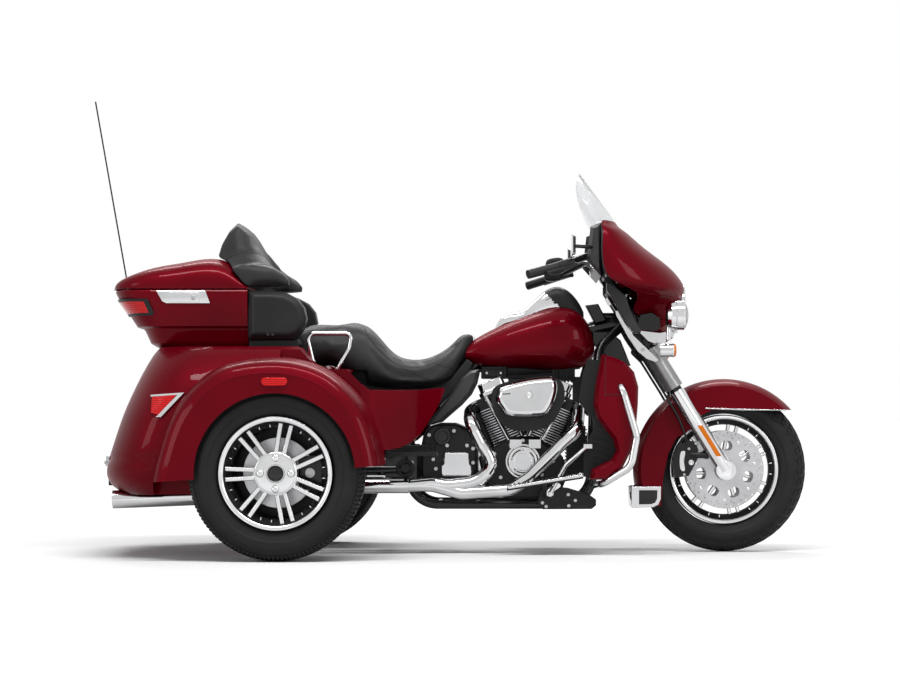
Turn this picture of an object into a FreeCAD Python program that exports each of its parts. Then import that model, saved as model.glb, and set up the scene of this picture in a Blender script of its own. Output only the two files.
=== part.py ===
import FreeCAD, Part
import math
import os
import re
from types import SimpleNamespace

import Sketcher
from FreeCAD import Placement, Rotation, Vector

# Motorized trike, in millimetres. X is forward, Y is to the rider's left and Z is up.
# The origin is on the ground, in the middle plane, halfway along the whole length.

# Driving sizes, kept in the document's sheet.
SIZES = (
    ("wheelbase", 1670),
    ("front_tyre_radius", 318),
    ("rear_tyre_radius", 320),
    ("antenna_reach", 800),
    ("running_clearance", 6),
    ("seat_clearance", 1),
    ("cut_overrun", 10),
    # Wheels
    ("front_tyre_width", 130),
    ("rear_tyre_width", 205),
    ("tyre_wall", 12),
    ("front_bead_radius", 203),
    ("rear_bead_radius", 195),
    ("front_rim_width", 96),
    ("rear_rim_width", 176),
    ("rim_lip_height", 11),
    ("rim_lip_width", 8),
    ("rim_barrel_wall", 8),
    ("front_hub_radius", 44),
    ("front_hub_width", 151),
    ("rear_hub_radius", 74),
    ("rear_hub_width", 70),
    ("spoke_width", 15),
    ("spoke_depth", 26),
    ("spoke_root_gap", 32),
    ("spoke_tip_gap", 52),
    ("rear_spoke_offset", 38),
    ("hub_cap_radius", 31),
    ("hub_cap_height", 9),
    ("wheel_bolt_radius", 13),
    ("wheel_bolt_circle", 54),
    ("wheel_bolt_height", 6),
    ("rear_track", 1140),
    ("disc_radius", 150),
    ("rear_disc_radius", 131),
    ("rear_hat_radius", 60),
    ("disc_thickness", 5),
    ("disc_window_radius", 17),
    ("disc_window_circle", 76),
    ("disc_spacing", 156),
    ("front_axle_radius", 12),
    # Rear body, fenders and trunk
    ("body_rear_reach", 690),
    ("body_front_reach", 294),
    ("body_low_z", 237),
    ("body_height", 547),
    ("body_tail_slope", 190),
    ("body_half_width", 600),
    ("body_corner_depth", 290),
    ("body_side_y", 452),
    ("body_wall", 8),
    ("wheel_room", 25),
    ("fender_rear_reach", 454),
    ("fender_rear_foot_z", 288),
    ("fender_foot_rise", 62),
    ("fender_length", 847),
    ("fender_height", 454),
    ("fender_half_width", 695),
    ("fender_crown", 62),
    ("fender_wall", 6),
    ("fender_arch_radius", 290),
    ("trunk_front_reach", 176),
    ("trunk_floor_z", 340),
    ("trunk_door_low_z", 356),
    ("trunk_door_height", 344),
    ("trunk_door_half_width", 285),
    ("hinge_pin_radius", 4),
    ("hinge_knuckle_radius", 8),
    ("hinge_knuckle_length", 36),
    ("hinge_lug_length", 7),
    ("hinge_side_gap", 1),
    ("hinge_leaf_height", 30),
    ("hinge_depth", 20),
    ("door_hinge_y", 150),
    ("door_hinge_drop", 8),
    ("lid_hinge_rear_x", -1130),
    ("lid_hinge_front_x", -920),
    ("plate_holder_half_width", 95),
    ("plate_holder_low_z", 258),
    ("plate_holder_height", 92),
    ("plate_holder_proud", 8),
    ("plate_hole_radius", 3.2),
    ("plate_hole_half_y", 73),
    ("plate_hole_half_z", 35),
    ("door_gap", 5),
    ("lobe_room_top_z", 640),
    ("seat_well_reach", 17),
    ("seat_deck_z", 700),
    ("axle_hole_radius", 62),
    ("side_panel_low_z", 399),
    ("side_panel_length", 303),
    ("side_panel_height", 247),
    ("lamp_proud", 8),
    ("tail_lamp_reach", 464),
    ("tail_lamp_low_z", 528),
    ("tail_lamp_length", 122),
    ("tail_lamp_height", 84),
    ("marker_length", 94),
    ("marker_height", 30),
    ("marker_z", 652),
    # Top box, backrest and pods
    ("box_rear_reach", 670),
    ("box_length", 527),
    ("box_half_width", 292),
    ("box_base_height", 216),
    ("box_tail_slope", 163),
    ("box_corner_depth", 130),
    ("box_wall", 5),
    ("box_lamp_low_z", 904),
    ("box_lamp_length", 162),
    ("box_lamp_height", 62),
    ("box_lamp_inner_y", 130),
    ("lid_gap", 5),
    ("lid_height", 122),
    ("backrest_rear_reach", 139),
    ("backrest_length", 308),
    ("backrest_height", 270),
    ("backrest_half_width", 297),
    ("cushion_round", 22),
    ("pod_low_z", 811),
    ("pod_length", 221),
    ("pod_height", 188),
    ("pod_width", 95),
    ("pod_outer_y", 302),
    # Seat, tank and side covers
    ("seat_rear_reach", 22),
    ("seat_low_z", 627),
    ("seat_length", 683),
    ("seat_height", 256),
    ("seat_half_width", 190),
    ("tank_rear_x", 57),
    ("tank_low_z", 698),
    ("tank_length", 518),
    ("tank_height", 242),
    ("tank_half_width", 148),
    ("tunnel_half_width", 42),
    ("tunnel_top_z", 790),
    ("console_rear_x", 110),
    ("console_low_z", 819),
    ("console_length", 424),
    ("console_height", 206),
    ("console_half_width", 56),
    ("side_cover_rear_x", -66),
    ("side_cover_low_z", 487),
    ("side_cover_length", 198),
    ("side_cover_height", 217),
    ("side_cover_outer_y", 185),
    ("side_cover_depth", 40),
    # Steering
    ("steering_ground_x", 1175),
    ("steering_angle", 26),
    ("fork_angle", 32),
    ("fork_half_spacing", 120),
    ("fork_tube_radius", 24.5),
    ("slider_radius", 30),
    ("slider_top_z", 620),
    ("fork_foot_radius", 38),
    ("fork_foot_width", 50),
    ("fork_cover_radius", 35),
    ("fork_cover_low_z", 632),
    ("fork_cover_high_z", 783),
    ("clamp_thickness", 30),
    ("clamp_depth", 72),
    ("clamp_half_width", 155),
    ("low_clamp_z", 806),
    ("high_clamp_z", 985),
    ("stem_radius", 16),
    ("head_radius", 34),
    ("pin_clearance", 0.3),
    ("handlebar_radius", 12.7),
    ("handlebar_bend", 70),
    ("riser_height", 46),
    ("riser_half_spacing", 45),
    ("riser_radius", 17),
    ("grip_radius", 17),
    ("grip_length", 130),
    ("grip_end_y", 434),
    ("grip_end_x", 318),
    ("grip_end_z", 1050),
    ("bar_rise", 74),
    ("bar_spread", 250),
    ("control_length", 62),
    ("control_width", 38),
    ("lever_radius", 6),
    ("lever_reach", 46),
    ("mirror_height", 78),
    ("mirror_width", 128),
    ("mirror_depth", 16),
    ("mirror_inner_y", 350),
    ("mirror_x", 478),
    ("mirror_low_z", 1120),
    ("mirror_stalk_radius", 7),
    ("fairing_low_z", 852),
    ("fairing_height", 412),
    ("fairing_nose_x", 928),
    ("fairing_depth", 330),
    ("fairing_half_width", 332),
    ("fairing_wall", 5),
    ("inner_fairing_low_z", 1052),
    ("inner_fairing_depth", 60),
    ("dash_recess", 30),
    ("screen_height", 196),
    ("screen_wall", 5),
    ("screen_half_width", 250),
    ("screen_foot_x", 662),
    ("screen_lean", 140),
    ("headlamp_radius", 80),
    ("headlamp_z", 952),
    ("headlamp_front_x", 928),
    ("headlamp_depth", 92),
    ("lamp_bar_radius", 12),
    ("lamp_bar_z", 812),
    ("lamp_bar_x", 818),
    ("lamp_bar_half_width", 235),
    ("spot_lamp_z", 907),
    ("spot_lamp_radius", 57),
    ("spot_lamp_depth", 74),
    ("spot_lamp_forward", 22),
    ("lamp_wing_rear_x", 729),
    ("lamp_wing_low_z", 797),
    ("lamp_wing_length", 150),
    ("lamp_wing_height", 58),
    ("lamp_wing_inner_y", 158),
    ("lamp_wing_width", 26),
    ("spot_lamp_y", 206),
    ("turn_lamp_radius", 25),
    ("turn_lamp_depth", 50),
    ("turn_lamp_drop", 38),
    ("turn_lamp_y", 226),
    ("front_fender_radius", 350),
    ("front_fender_half_width", 86),
    ("front_fender_crown", 26),
    ("front_fender_wall", 4),
    ("front_skirt_radius", 205),
    ("front_skirt_z", 548),
    ("front_fender_tip_reach", 282),
    ("front_fender_low_z", 180),
    ("front_fender_inner_reach", 246),
    ("caliper_inner_y", 61),
    ("caliper_outer_y", 101),
    ("caliper_length", 106),
    ("caliper_height", 146),
    ("caliper_low_z", 287),
    ("caliper_rear_reach", 204),
    ("brake_line_radius", 4.5),
    ("brake_line_bend", 40),
    ("brake_line_reach", 52),
    # Engine, exhaust, frame and rear axle
    ("crank_x", 308),
    ("crank_z", 329),
    ("cylinder_angle", 22.5),
    ("deck_height", 118),
    ("cylinder_bore_radius", 54),
    ("fin_radius", 80),
    ("fin_thickness", 4),
    ("fin_pitch", 10),
    ("cylinder_gap", 2.5),
    ("head_half_width", 76),
    ("head_height", 46),
    ("rocker_length", 118),
    ("rocker_width", 150),
    ("rocker_height", 52),
    ("case_rear_x", 128),
    ("case_length", 345),
    ("case_low_z", 206),
    ("case_height", 240),
    ("case_half_width", 112),
    ("case_edge", 10),
    ("pushrod_radius", 9),
    ("pushrod_y", 122),
    ("tappet_length", 46),
    ("tappet_height", 34),
    ("tappet_depth", 34),
    ("cam_cover_radius", 66),
    ("cam_cover_depth", 44),
    ("cam_cover_x", 299),
    ("cam_cover_z", 352),
    ("cleaner_rear_x", 198),
    ("cleaner_low_z", 521),
    ("cleaner_length", 230),
    ("cleaner_height", 150),
    ("cleaner_outer_y", 268),
    ("cleaner_depth", 66),
    ("cleaner_back_depth", 22),
    ("gearbox_rear_x", -94),
    ("gearbox_length", 216),
    ("gearbox_low_z", 262),
    ("gearbox_height", 236),
    ("gearbox_half_width", 118),
    ("gear_cover_rear_x", -14),
    ("gear_cover_length", 120),
    ("gear_cover_low_z", 296),
    ("gear_cover_height", 92),
    ("gear_cover_depth", 40),
    ("primary_rear_x", -70),
    ("primary_length", 520),
    ("primary_low_z", 232),
    ("primary_height", 206),
    ("primary_depth", 96),
    ("header_radius", 24),
    ("header_bend", 90),
    ("muffler_radius", 34),
    ("muffler_y", 385),
    ("muffler_rear_x", -1225),
    ("muffler_front_x", -330),
    ("muffler_rear_z", 216),
    ("muffler_front_z", 246),
    ("pipe_y", 205),
    ("pipe_z", 262),
    ("frame_tube_radius", 17),
    ("frame_bend", 110),
    ("cross_bar_radius", 13),
    ("rail_y", 140),
    ("rail_z", 187),
    ("rail_rear_x", -132),
    ("rail_front_x", 560),
    ("backbone_radius", 30),
    ("frame_deck_z", 600),
    ("pivot_plate_rear_x", -226),
    ("pivot_plate_length", 120),
    ("pivot_plate_low_z", 288),
    ("pivot_plate_height", 126),
    ("pivot_plate_thickness", 30),
    ("top_mount_half_length", 66),
    ("top_mount_half_width", 22),
    ("top_mount_height", 130),
    ("gusset_rear_x", 566),
    ("gusset_low_z", 716),
    ("gusset_length", 150),
    ("gusset_height", 136),
    ("gusset_half_width", 44),
    ("switch_box_rear_x", 540),
    ("switch_box_low_z", 880),
    ("switch_box_length", 84),
    ("switch_box_height", 78),
    ("switch_box_half_width", 38),
    ("rocker_base_height", 18),
    ("rocker_step", 8),
    ("backbone_z", 745),
    ("axle_tube_radius", 38),
    ("axle_half_length", 490),
    ("drive_case_radius", 92),
    ("drive_case_half_width", 78),
    ("spindle_radius", 20),
    ("rear_disc_inset", 50),
    ("rear_caliper_reach", 116),
    ("carrier_thickness", 12),
    ("rear_caliper_length", 84),
    ("rear_caliper_height", 124),
    ("rear_caliper_width", 60),
    ("guard_radius", 14),
    ("guard_bend", 60),
    ("guard_outer_y", 382),
    ("guard_foot_x", 503),
    ("guard_foot_z", 259),
    ("guard_front_x", 722),
    ("guard_top_x", 664),
    ("guard_top_z", 646),
    ("lower_rear_x", 550),
    ("lower_low_z", 287),
    ("lower_length", 182),
    ("lower_height", 470),
    ("lower_inner_y", 235),
    ("lower_outer_y", 362),
    ("lower_round", 26),
    ("liner_inner_y", 165),
    ("board_front_x", 524),
    ("board_length", 285),
    ("board_front_z", 309),
    ("board_rise", 46),
    ("board_thickness", 16),
    ("board_inner_y", 250),
    ("board_width", 110),
    ("rear_board_x", -213),
    ("rear_board_z", 376),
    ("rear_board_length", 190),
    ("rear_board_width", 90),
    ("rear_board_inner_y", 242),
    ("pedal_arm_radius", 8),
    ("pedal_x", 543),
    ("pedal_z", 412),
    ("pedal_width", 62),
    ("handrail_radius", 8),
    ("handrail_bend", 22),
    ("handrail_y", 232),
    ("handrail_rear_x", -514),
    ("handrail_top_z", 838),
    ("handrail_length", 166),
    ("antenna_radius", 3),
    ("antenna_sleeve_radius", 7),
    ("antenna_sleeve_length", 46),
    ("antenna_y", 200),
    ("antenna_foot_z", 976),
    ("antenna_tip_z", 1768),
    ("antenna_lean", 139),
    ("antenna_bracket_height", 8),
)

doc = FreeCAD.newDocument("MotorizedTrike")
sheet = doc.addObject("Spreadsheet::Sheet", "Sizes")
for row, (alias, number) in enumerate(SIZES, 1):
    sheet.set(f"A{row}", alias)
    sheet.set(f"B{row}", str(number))
    sheet.setAlias(f"B{row}", alias)
doc.recompute()
size = SimpleNamespace(**{alias: float(sheet.get(alias)) for alias, _ in SIZES})

# Each finished piece, in the order in which it is made.
pieces = []


def bound(formula):
    """A formula whose size names point at the sheet."""
    return re.sub(r"[a-z]\w+", lambda word: f"Sizes.{word[0]}" if hasattr(size, word[0]) else word[0], formula)


def value(formula):
    """What a formula comes to, in millimetres."""
    return float(sheet.evalExpression(formula))


def new_body(label):
    """An empty body that becomes one piece."""
    body = doc.addObject("PartDesign::Body", label)
    body.Label = label
    pieces.append(body)
    return body


def add_sketch(body, role, corners, offset="0"):
    """Closed outline on an origin plane. A corner is (across, up) or, with an arc to the next, (across, up, bulge)."""
    sketch = body.newObject("Sketcher::SketchObject", f"{body.Label}_sketch")
    plane = next(item for item in body.Origin.OriginFeatures if item.Role == role)
    sketch.AttachmentSupport = [(plane, "")]
    sketch.MapMode = "FlatFace"
    sketch.setExpression("AttachmentOffset.Base.z", bound(offset))
    points = [Vector(value(corner[0]), value(corner[1]), 0) for corner in corners]
    for index, start in enumerate(points):
        end = points[(index + 1) % len(points)]
        bulge = value(corners[index][2]) if len(corners[index]) > 2 else 0
        if bulge:
            middle = (start + end) * 0.5 + Vector(end.y - start.y, start.x - end.x, 0) * bulge
            sketch.addGeometry(Part.Arc(start, middle, end))
        else:
            sketch.addGeometry(Part.LineSegment(start, end))
    begins = [1 if sketch.getPoint(index, 1).isEqual(start, 1e-6) else 2 for index, start in enumerate(points)]
    for index, corner in enumerate(corners):
        after = (index + 1) % len(corners)
        sketch.addConstraint(Sketcher.Constraint("Coincident", index, 3 - begins[index], after, begins[after]))
        for kind, formula, place, axis in (
            ("DistanceX", corner[0], points[index].x, -2),
            ("DistanceY", corner[1], points[index].y, -1),
        ):
            if abs(place) < 1e-9:
                sketch.addConstraint(Sketcher.Constraint("PointOnObject", index, begins[index], axis))
            else:
                held = sketch.addConstraint(Sketcher.Constraint(kind, -1, 1, index, begins[index], place))
                sketch.setExpression(f"Constraints[{held}]", bound(formula))
        if len(corner) > 2:
            following = corners[after]
            chord = f"sqrt((({following[0]}) - ({corner[0]})) ^ 2 + (({following[1]}) - ({corner[1]})) ^ 2)"
            radius = f"{chord} * (abs({corner[2]}) / 2 + 1 / (8 * abs({corner[2]})))"
            held = sketch.addConstraint(Sketcher.Constraint("Radius", index, sketch.Geometry[index].Radius))
            sketch.setExpression(f"Constraints[{held}]", bound(radius))
    return sketch


def add_circles(body, role, circles, offset="0"):
    """Circles on an origin plane, each (across, up, radius) in formulas."""
    sketch = body.newObject("Sketcher::SketchObject", f"{body.Label}_circles")
    plane = next(item for item in body.Origin.OriginFeatures if item.Role == role)
    sketch.AttachmentSupport = [(plane, "")]
    sketch.MapMode = "FlatFace"
    sketch.setExpression("AttachmentOffset.Base.z", bound(offset))
    for index, (across, up, radius) in enumerate(circles):
        centre = Vector(value(across), value(up), 0)
        sketch.addGeometry(Part.Circle(centre, Vector(0, 0, 1), value(radius)))
        held = sketch.addConstraint(Sketcher.Constraint("Radius", index, value(radius)))
        sketch.setExpression(f"Constraints[{held}]", bound(radius))
        for kind, formula, place, axis in (("DistanceX", across, centre.x, -2), ("DistanceY", up, centre.y, -1)):
            if abs(place) < 1e-9:
                sketch.addConstraint(Sketcher.Constraint("PointOnObject", index, 3, axis))
            else:
                held = sketch.addConstraint(Sketcher.Constraint(kind, -1, 1, index, 3, place))
                sketch.setExpression(f"Constraints[{held}]", bound(formula))
    return sketch


def add_revolution(body, sketch, axis="V_Axis"):
    """The outline turned once round an axis of its sketch."""
    turned = body.newObject("PartDesign::Revolution", f"{body.Label}_revolution")
    turned.Profile = sketch
    turned.ReferenceAxis = (sketch, [axis])
    turned.Angle = 360
    return turned


def add_pad(body, sketch, length, midplane=True):
    """The outline pulled out to a thickness."""
    pad = body.newObject("PartDesign::Pad", f"{body.Label}_pad")
    pad.Profile = sketch
    pad.setExpression("Length", bound(length))
    pad.Midplane = midplane
    return pad


def add_pocket(body, sketch, length):
    """The outline cut through on both sides of its plane."""
    pocket = body.newObject("PartDesign::Pocket", f"{body.Label}_pocket")
    pocket.Profile = sketch
    pocket.setExpression("Length", bound(length))
    pocket.Midplane = True
    return pocket


def add_ring(body, feature, sketch, count):
    """Copies of a feature spread evenly round the sketch's normal."""
    ring = body.newObject("PartDesign::PolarPattern", f"{body.Label}_ring")
    ring.Originals = [feature]
    ring.Axis = (sketch, ["N_Axis"])
    ring.Angle = 360
    ring.Occurrences = count
    body.Tip = ring
    return ring


def set_in(points, distance):
    """The closed outline in the XZ plane moved inwards by a distance."""
    count = len(points)
    doubled_area = sum(a.x * b.z - b.x * a.z for a, b in zip(points, points[1:] + points[:1]))
    turn = 1 if doubled_area > 0 else -1
    moved = []
    for index, point in enumerate(points):
        before = point - points[index - 1]
        after = points[(index + 1) % count] - point
        before.normalize()
        after.normalize()
        along = before + after
        inward = Vector(-along.z, 0, along.x) * turn
        inward.normalize()
        lean = max(abs(inward.dot(Vector(-after.z, 0, after.x))), 0.5)
        moved.append(point + inward * (distance / lean))
    return moved


def closed_wire(points, smooth):
    """Closed outline through the points, as one curve or as straight sides."""
    if not smooth:
        return Part.makePolygon(points + points[:1])
    curve = Part.BSplineCurve()
    curve.interpolate(Points=points, PeriodicFlag=True)
    return Part.Wire(curve.toShape())


def placed(shares, corner, length, height):
    """Side-view points from shares of a length and a height, counted from a corner."""
    return [Vector(corner[0] + along * length, 0, corner[1] + up * height) for along, up in shares]


def slab(points, layers, smooth=True):
    """A side-view outline carried across in layers, each (y, distance set in)."""
    wires = [closed_wire([point + Vector(0, y, 0) for point in set_in(points, inset)], smooth) for y, inset in layers]
    return Part.makeLoft(wires, True, not smooth)


def prism(points, low_y, high_y):
    """A straight-sided side-view outline pulled from one y to another."""
    face = Part.Face(Part.makePolygon([point + Vector(0, low_y, 0) for point in points + points[:1]]))
    return face.extrude(Vector(0, high_y - low_y, 0))


def plan_prism(corners, low_z, high_z):
    """A straight-sided plan outline of (x, y) corners pulled from one height to another."""
    points = [Vector(x, y, low_z) for x, y in corners]
    return Part.Face(Part.makePolygon(points + points[:1])).extrude(Vector(0, 0, high_z - low_z))


def block(low, high):
    """Box between two opposite corners."""
    return Part.makeBox(high[0] - low[0], high[1] - low[1], high[2] - low[2], Vector(*low))


def round_bar(start, end, radius, bore=0):
    """Cylinder or pipe from one point to another."""
    axis = end - start
    bar = Part.makeCylinder(radius, axis.Length, start, axis)
    return bar.cut(Part.makeCylinder(bore, axis.Length, start, axis)) if bore else bar


def oval(x, half_width, low, high, fullness, side=0):
    """Closed upright section at x, squarer as its fullness grows past 2."""
    middle = (low + high) / 2
    half_height = (high - low) / 2
    points = []
    for step in range(16):
        angle = math.tau * step / 16
        across = math.copysign(abs(math.cos(angle)) ** (2 / fullness), math.cos(angle))
        up = math.copysign(abs(math.sin(angle)) ** (2 / fullness), math.sin(angle))
        points.append(Vector(x, side + half_width * across, middle + half_height * up))
    return closed_wire(points, True)


def dome(x, half_width, low, high, fullness):
    """Upright section at x with a flat foot and a rounded top."""
    points = []
    for step in range(13):
        angle = math.pi * step / 12
        across = math.copysign(abs(math.cos(angle)) ** (2 / fullness), math.cos(angle))
        points.append(Vector(x, half_width * across, low + (high - low) * abs(math.sin(angle)) ** (2 / fullness)))
    curve = Part.BSplineCurve()
    curve.interpolate(Points=points)
    return Part.Wire([curve.toShape(), Part.makeLine(points[-1], points[0])])


def hull(shares, start, length, half_width, height, fullness, section=oval, wall=0):
    """Loft forward along X through (along, half width, low, high) shares, or its hollow within a wall."""
    wires = []
    for along, wide, low, high in shares:
        x = start[0] + wall + along * (length - 2 * wall)
        foot = start[1] + low * height + (wall if section is oval else 0)
        wires.append(section(x, wide * half_width - wall, foot, start[1] + high * height - wall, fullness))
    return Part.makeLoft(wires, True, False)


def bow(z, nose_x, tip_x, half_width, wall=0, filled=False):
    """Level section bowed round the front: a wall's thickness, or filled back to its tips."""
    def arc(inset):
        points = []
        for step in range(-6, 7):
            angle = math.pi / 2 * step / 6
            across = (half_width - inset) * math.sin(angle)
            points.append(Vector(tip_x + (nose_x - inset - tip_x) * math.cos(angle), across, z))
        curve = Part.BSplineCurve()
        curve.interpolate(Points=points)
        return curve.toShape(), points[0], points[-1]

    outer, first, last = arc(0)
    if filled:
        return Part.Wire([outer, Part.makeLine(last, first)])
    inner, inner_first, inner_last = arc(wall)
    return Part.Wire([outer, Part.makeLine(last, inner_last), inner, Part.makeLine(inner_first, first)])


def bent_path(points, bend):
    """Straight runs joined by tangent arcs, each as near to the bend radius as its runs allow."""
    edges = []
    start = points[0]
    for before, corner, after in zip(points, points[1:], points[2:]):
        back = before - corner
        onward = after - corner
        half_turn = (math.pi - back.getAngle(onward)) / 2
        radius = min(bend, 0.45 * min(back.Length, onward.Length) / math.tan(half_turn))
        back.normalize()
        onward.normalize()
        bisector = back + onward
        bisector.normalize()
        setback = radius * math.tan(half_turn)
        middle = corner + bisector * (radius / math.cos(half_turn) - radius)
        edges.append(Part.makeLine(start, corner + back * setback))
        edges.append(Part.Arc(corner + back * setback, middle, corner + onward * setback).toShape())
        start = corner + onward * setback
    edges.append(Part.makeLine(start, points[-1]))
    return Part.Wire(edges)


def bent_tube(points, radius, bend):
    """Solid round tube along straight runs and tangent arcs."""
    ring = Part.Wire(Part.makeCircle(radius, points[0], points[1] - points[0]))
    return bent_path(points, bend).makePipeShell([ring], True, False)


def mirrored(shape):
    """The same shape on the other side of the middle plane."""
    return shape.mirror(Vector(0, 0, 0), Vector(0, 1, 0))


def both_sides(shape):
    """The shape with its mirror image."""
    return [shape, mirrored(shape)]


def add_piece(label, solids, cuts=()):
    """One piece from solids that are joined or stand apart, less what is cut away."""
    whole = solids[0].fuse(solids[1:]) if len(solids) > 1 else solids[0]
    for cut in cuts:
        whole = whole.cut(cut)
    feature = doc.addObject("Part::Feature", label)
    feature.Label = label
    feature.Shape = whole
    pieces.append(feature)
    return whole


# Wheels. Each is built about its own axle, which is the Y axis of its body.
rear_axle_x = size.antenna_reach - (size.wheelbase + size.front_tyre_radius + size.antenna_reach) / 2
front_axle_x = rear_axle_x + size.wheelbase
FRONT_AXLE = Vector(front_axle_x, 0, size.front_tyre_radius)
spoke_pairs = 7


def make_tyre(label, wheel, section_shares, place):
    """Hollow tyre from bead to bead. Shares give height above the bead and width of the section."""
    bead = f"{wheel}_bead_radius"
    side = f"{wheel}_rim_width / 2"
    height = f"({wheel}_tyre_radius - {bead})"
    half = f"{wheel}_tyre_width / 2"
    flank = [(f"{bead} + {height} * {up}", f"{half} * {out}") for up, out in section_shares]
    right_flank = [(up, f"-1 * ({out})") for up, out in flank]
    outline = [(bead, f"-{side}"), (f"{bead} + rim_lip_height", f"-{side}"), *right_flank, *reversed(flank)]
    outline += [
        (f"{bead} + rim_lip_height", side),
        (bead, side),
        (bead, f"{side} - tyre_wall"),
        (f"{wheel}_tyre_radius - 2 * tyre_wall", f"{side} - tyre_wall"),
        (f"{wheel}_tyre_radius - 2 * tyre_wall", f"tyre_wall - {side}"),
        (bead, f"tyre_wall - {side}"),
    ]
    body = new_body(label)
    add_revolution(body, add_sketch(body, "XY_Plane", outline))
    body.Placement = Placement(place, Rotation())
    return body


def make_rim(label, wheel, spoke_offset, side_sign, bore_radius, place):
    """Barrel, lips, hub and pairs of spokes in one casting."""
    seat = f"{wheel}_bead_radius"
    inner = f"{wheel}_bead_radius - rim_barrel_wall"
    half = f"{wheel}_rim_width / 2"
    lip = f"{wheel}_bead_radius + rim_lip_height"
    hub = f"{wheel}_hub_radius"
    body = new_body(label)
    barrel = (
        (inner, f"-{half} - rim_lip_width"),
        (lip, f"-{half} - rim_lip_width"),
        (lip, f"-{half}"),
        (seat, f"-{half}"),
        (seat, half),
        (lip, half),
        (lip, f"{half} + rim_lip_width"),
        (inner, f"{half} + rim_lip_width"),
    )
    add_revolution(body, add_sketch(body, "XY_Plane", barrel))
    middle = f"{spoke_offset} * {-side_sign}"
    spoke = (
        (f"{hub} - spoke_width / 2", "spoke_root_gap / 2 - spoke_width / 2"),
        (f"{inner} + rim_barrel_wall / 2", "spoke_tip_gap / 2 - spoke_width / 2"),
        (f"{inner} + rim_barrel_wall / 2", "spoke_tip_gap / 2 + spoke_width / 2"),
        (f"{hub} - spoke_width / 2", "spoke_root_gap / 2 + spoke_width / 2"),
    )
    mirrored_spoke = tuple((across, f"-({up})") for across, up in reversed(spoke))
    for outline in (spoke, mirrored_spoke):
        sketch = add_sketch(body, "XZ_Plane", outline, middle)
        add_ring(body, add_pad(body, sketch, "spoke_depth"), sketch, spoke_pairs)
    hub_sketch = add_circles(body, "XZ_Plane", (("0", "0", hub),), middle)
    add_pad(body, hub_sketch, f"{wheel}_hub_width")
    if wheel == "rear":
        hat_place = f"{-side_sign} * (rear_spoke_offset - rear_disc_inset) / 2"
        hat = add_circles(body, "XZ_Plane", (("0", "0", "rear_hat_radius"),), hat_place)
        add_pad(body, hat, "rear_spoke_offset + rear_disc_inset")
        disc = add_circles(body, "XZ_Plane", (("0", "0", "rear_disc_radius"),), f"{side_sign} * rear_disc_inset")
        add_pad(body, disc, "disc_thickness")
    bore = add_circles(body, "XZ_Plane", (("0", "0", bore_radius),), middle)
    add_pocket(body, bore, f"{wheel}_tyre_radius")
    if wheel == "rear":
        cap_place = f"{-side_sign} * (rear_spoke_offset + (rear_hub_width + hub_cap_height) / 2)"
        cap = add_circles(body, "XZ_Plane", (("0", "0", "hub_cap_radius"),), cap_place)
        add_pad(body, cap, "hub_cap_height")
    body.Placement = Placement(place, Rotation())
    return body


def make_disc(label, place):
    """Front brake disc: a band on a windowed carrier."""
    body = new_body(label)
    plate = add_circles(body, "XZ_Plane", (("0", "0", "disc_radius"),))
    add_pad(body, plate, "disc_thickness")
    add_pocket(body, add_circles(body, "XZ_Plane", (("0", "0", "front_hub_radius * 0.6"),)), "disc_radius")
    window = add_circles(body, "XZ_Plane", (("disc_window_circle", "0", "disc_window_radius"),))
    hole = add_pocket(body, window, "disc_radius")
    add_ring(body, hole, window, spoke_pairs)
    body.Placement = Placement(place, Rotation())
    return body


# Height above the bead and width, from the belly over the shoulder to the tread.
FRONT_SECTION_SHARES = ((0.48, 1.00), (0.82, 0.84), (1.00, 0.38))
REAR_SECTION_SHARES = ((0.50, 1.00), (0.88, 0.94), (1.00, 0.80))
make_tyre("front_tyre", "front", FRONT_SECTION_SHARES, FRONT_AXLE)
make_rim("front_rim", "front", "0", 1, "front_axle_radius + pin_clearance", FRONT_AXLE)
for side_name, side_sign in (("right", -1), ("left", 1)):
    make_disc(f"front_disc_{side_name}", FRONT_AXLE + Vector(0, side_sign * size.disc_spacing / 2, 0))
for side_name, side_sign in (("right", -1), ("left", 1)):
    wheel_place = Vector(rear_axle_x, side_sign * size.rear_track / 2, size.rear_tyre_radius)
    make_tyre(f"rear_tyre_{side_name}", "rear", REAR_SECTION_SHARES, wheel_place)
    make_rim(f"rear_rim_{side_name}", "rear", "rear_spoke_offset", side_sign,
             "spindle_radius + pin_clearance", wheel_place)

# Rear body: a moulded shell with the trunk in its tail and the wheels outside its walls.
# Levels give height, how far forward of the rearmost point, and half width.
BODY_LEVEL_SHARES = (
    (0.00, 0.30, 0.88),
    (0.06, 0.08, 0.94),
    (0.16, 0.00, 0.98),
    (0.36, 0.16, 1.00),
    (0.58, 0.38, 0.98),
    (0.80, 0.66, 0.90),
    (0.94, 0.87, 0.80),
    (1.00, 1.00, 0.72),
)
# Round the tail, from the middle out: how far forward in the corner's depth, and how far across.
TAIL_SHARES = ((0.00, 0.00), (0.03, 0.35), (0.14, 0.66), (0.34, 0.86), (0.62, 0.97), (1.00, 1.00))


def tail_plan(z, rear_x, front_x, half_width, corner, inset):
    """Level outline with a bowed tail, straight sides and a straight front."""
    right = [
        Vector(rear_x + inset + forward * corner, -across * (half_width - inset), z)
        for forward, across in TAIL_SHARES
    ]
    left = [Vector(point.x, -point.y, z) for point in reversed(right[1:])]
    curve = Part.BSplineCurve()
    curve.interpolate(Points=left + right)
    front = [Vector(front_x, right[-1].y, z), Vector(front_x, left[0].y, z)]
    sides = Part.makePolygon([right[-1]] + front + [left[0]])
    return Part.Wire([curve.toShape()] + sides.Edges)


body_rear_x = rear_axle_x - size.body_rear_reach
body_front_x = rear_axle_x + size.body_front_reach
body_top_z = size.body_low_z + size.body_height


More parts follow.
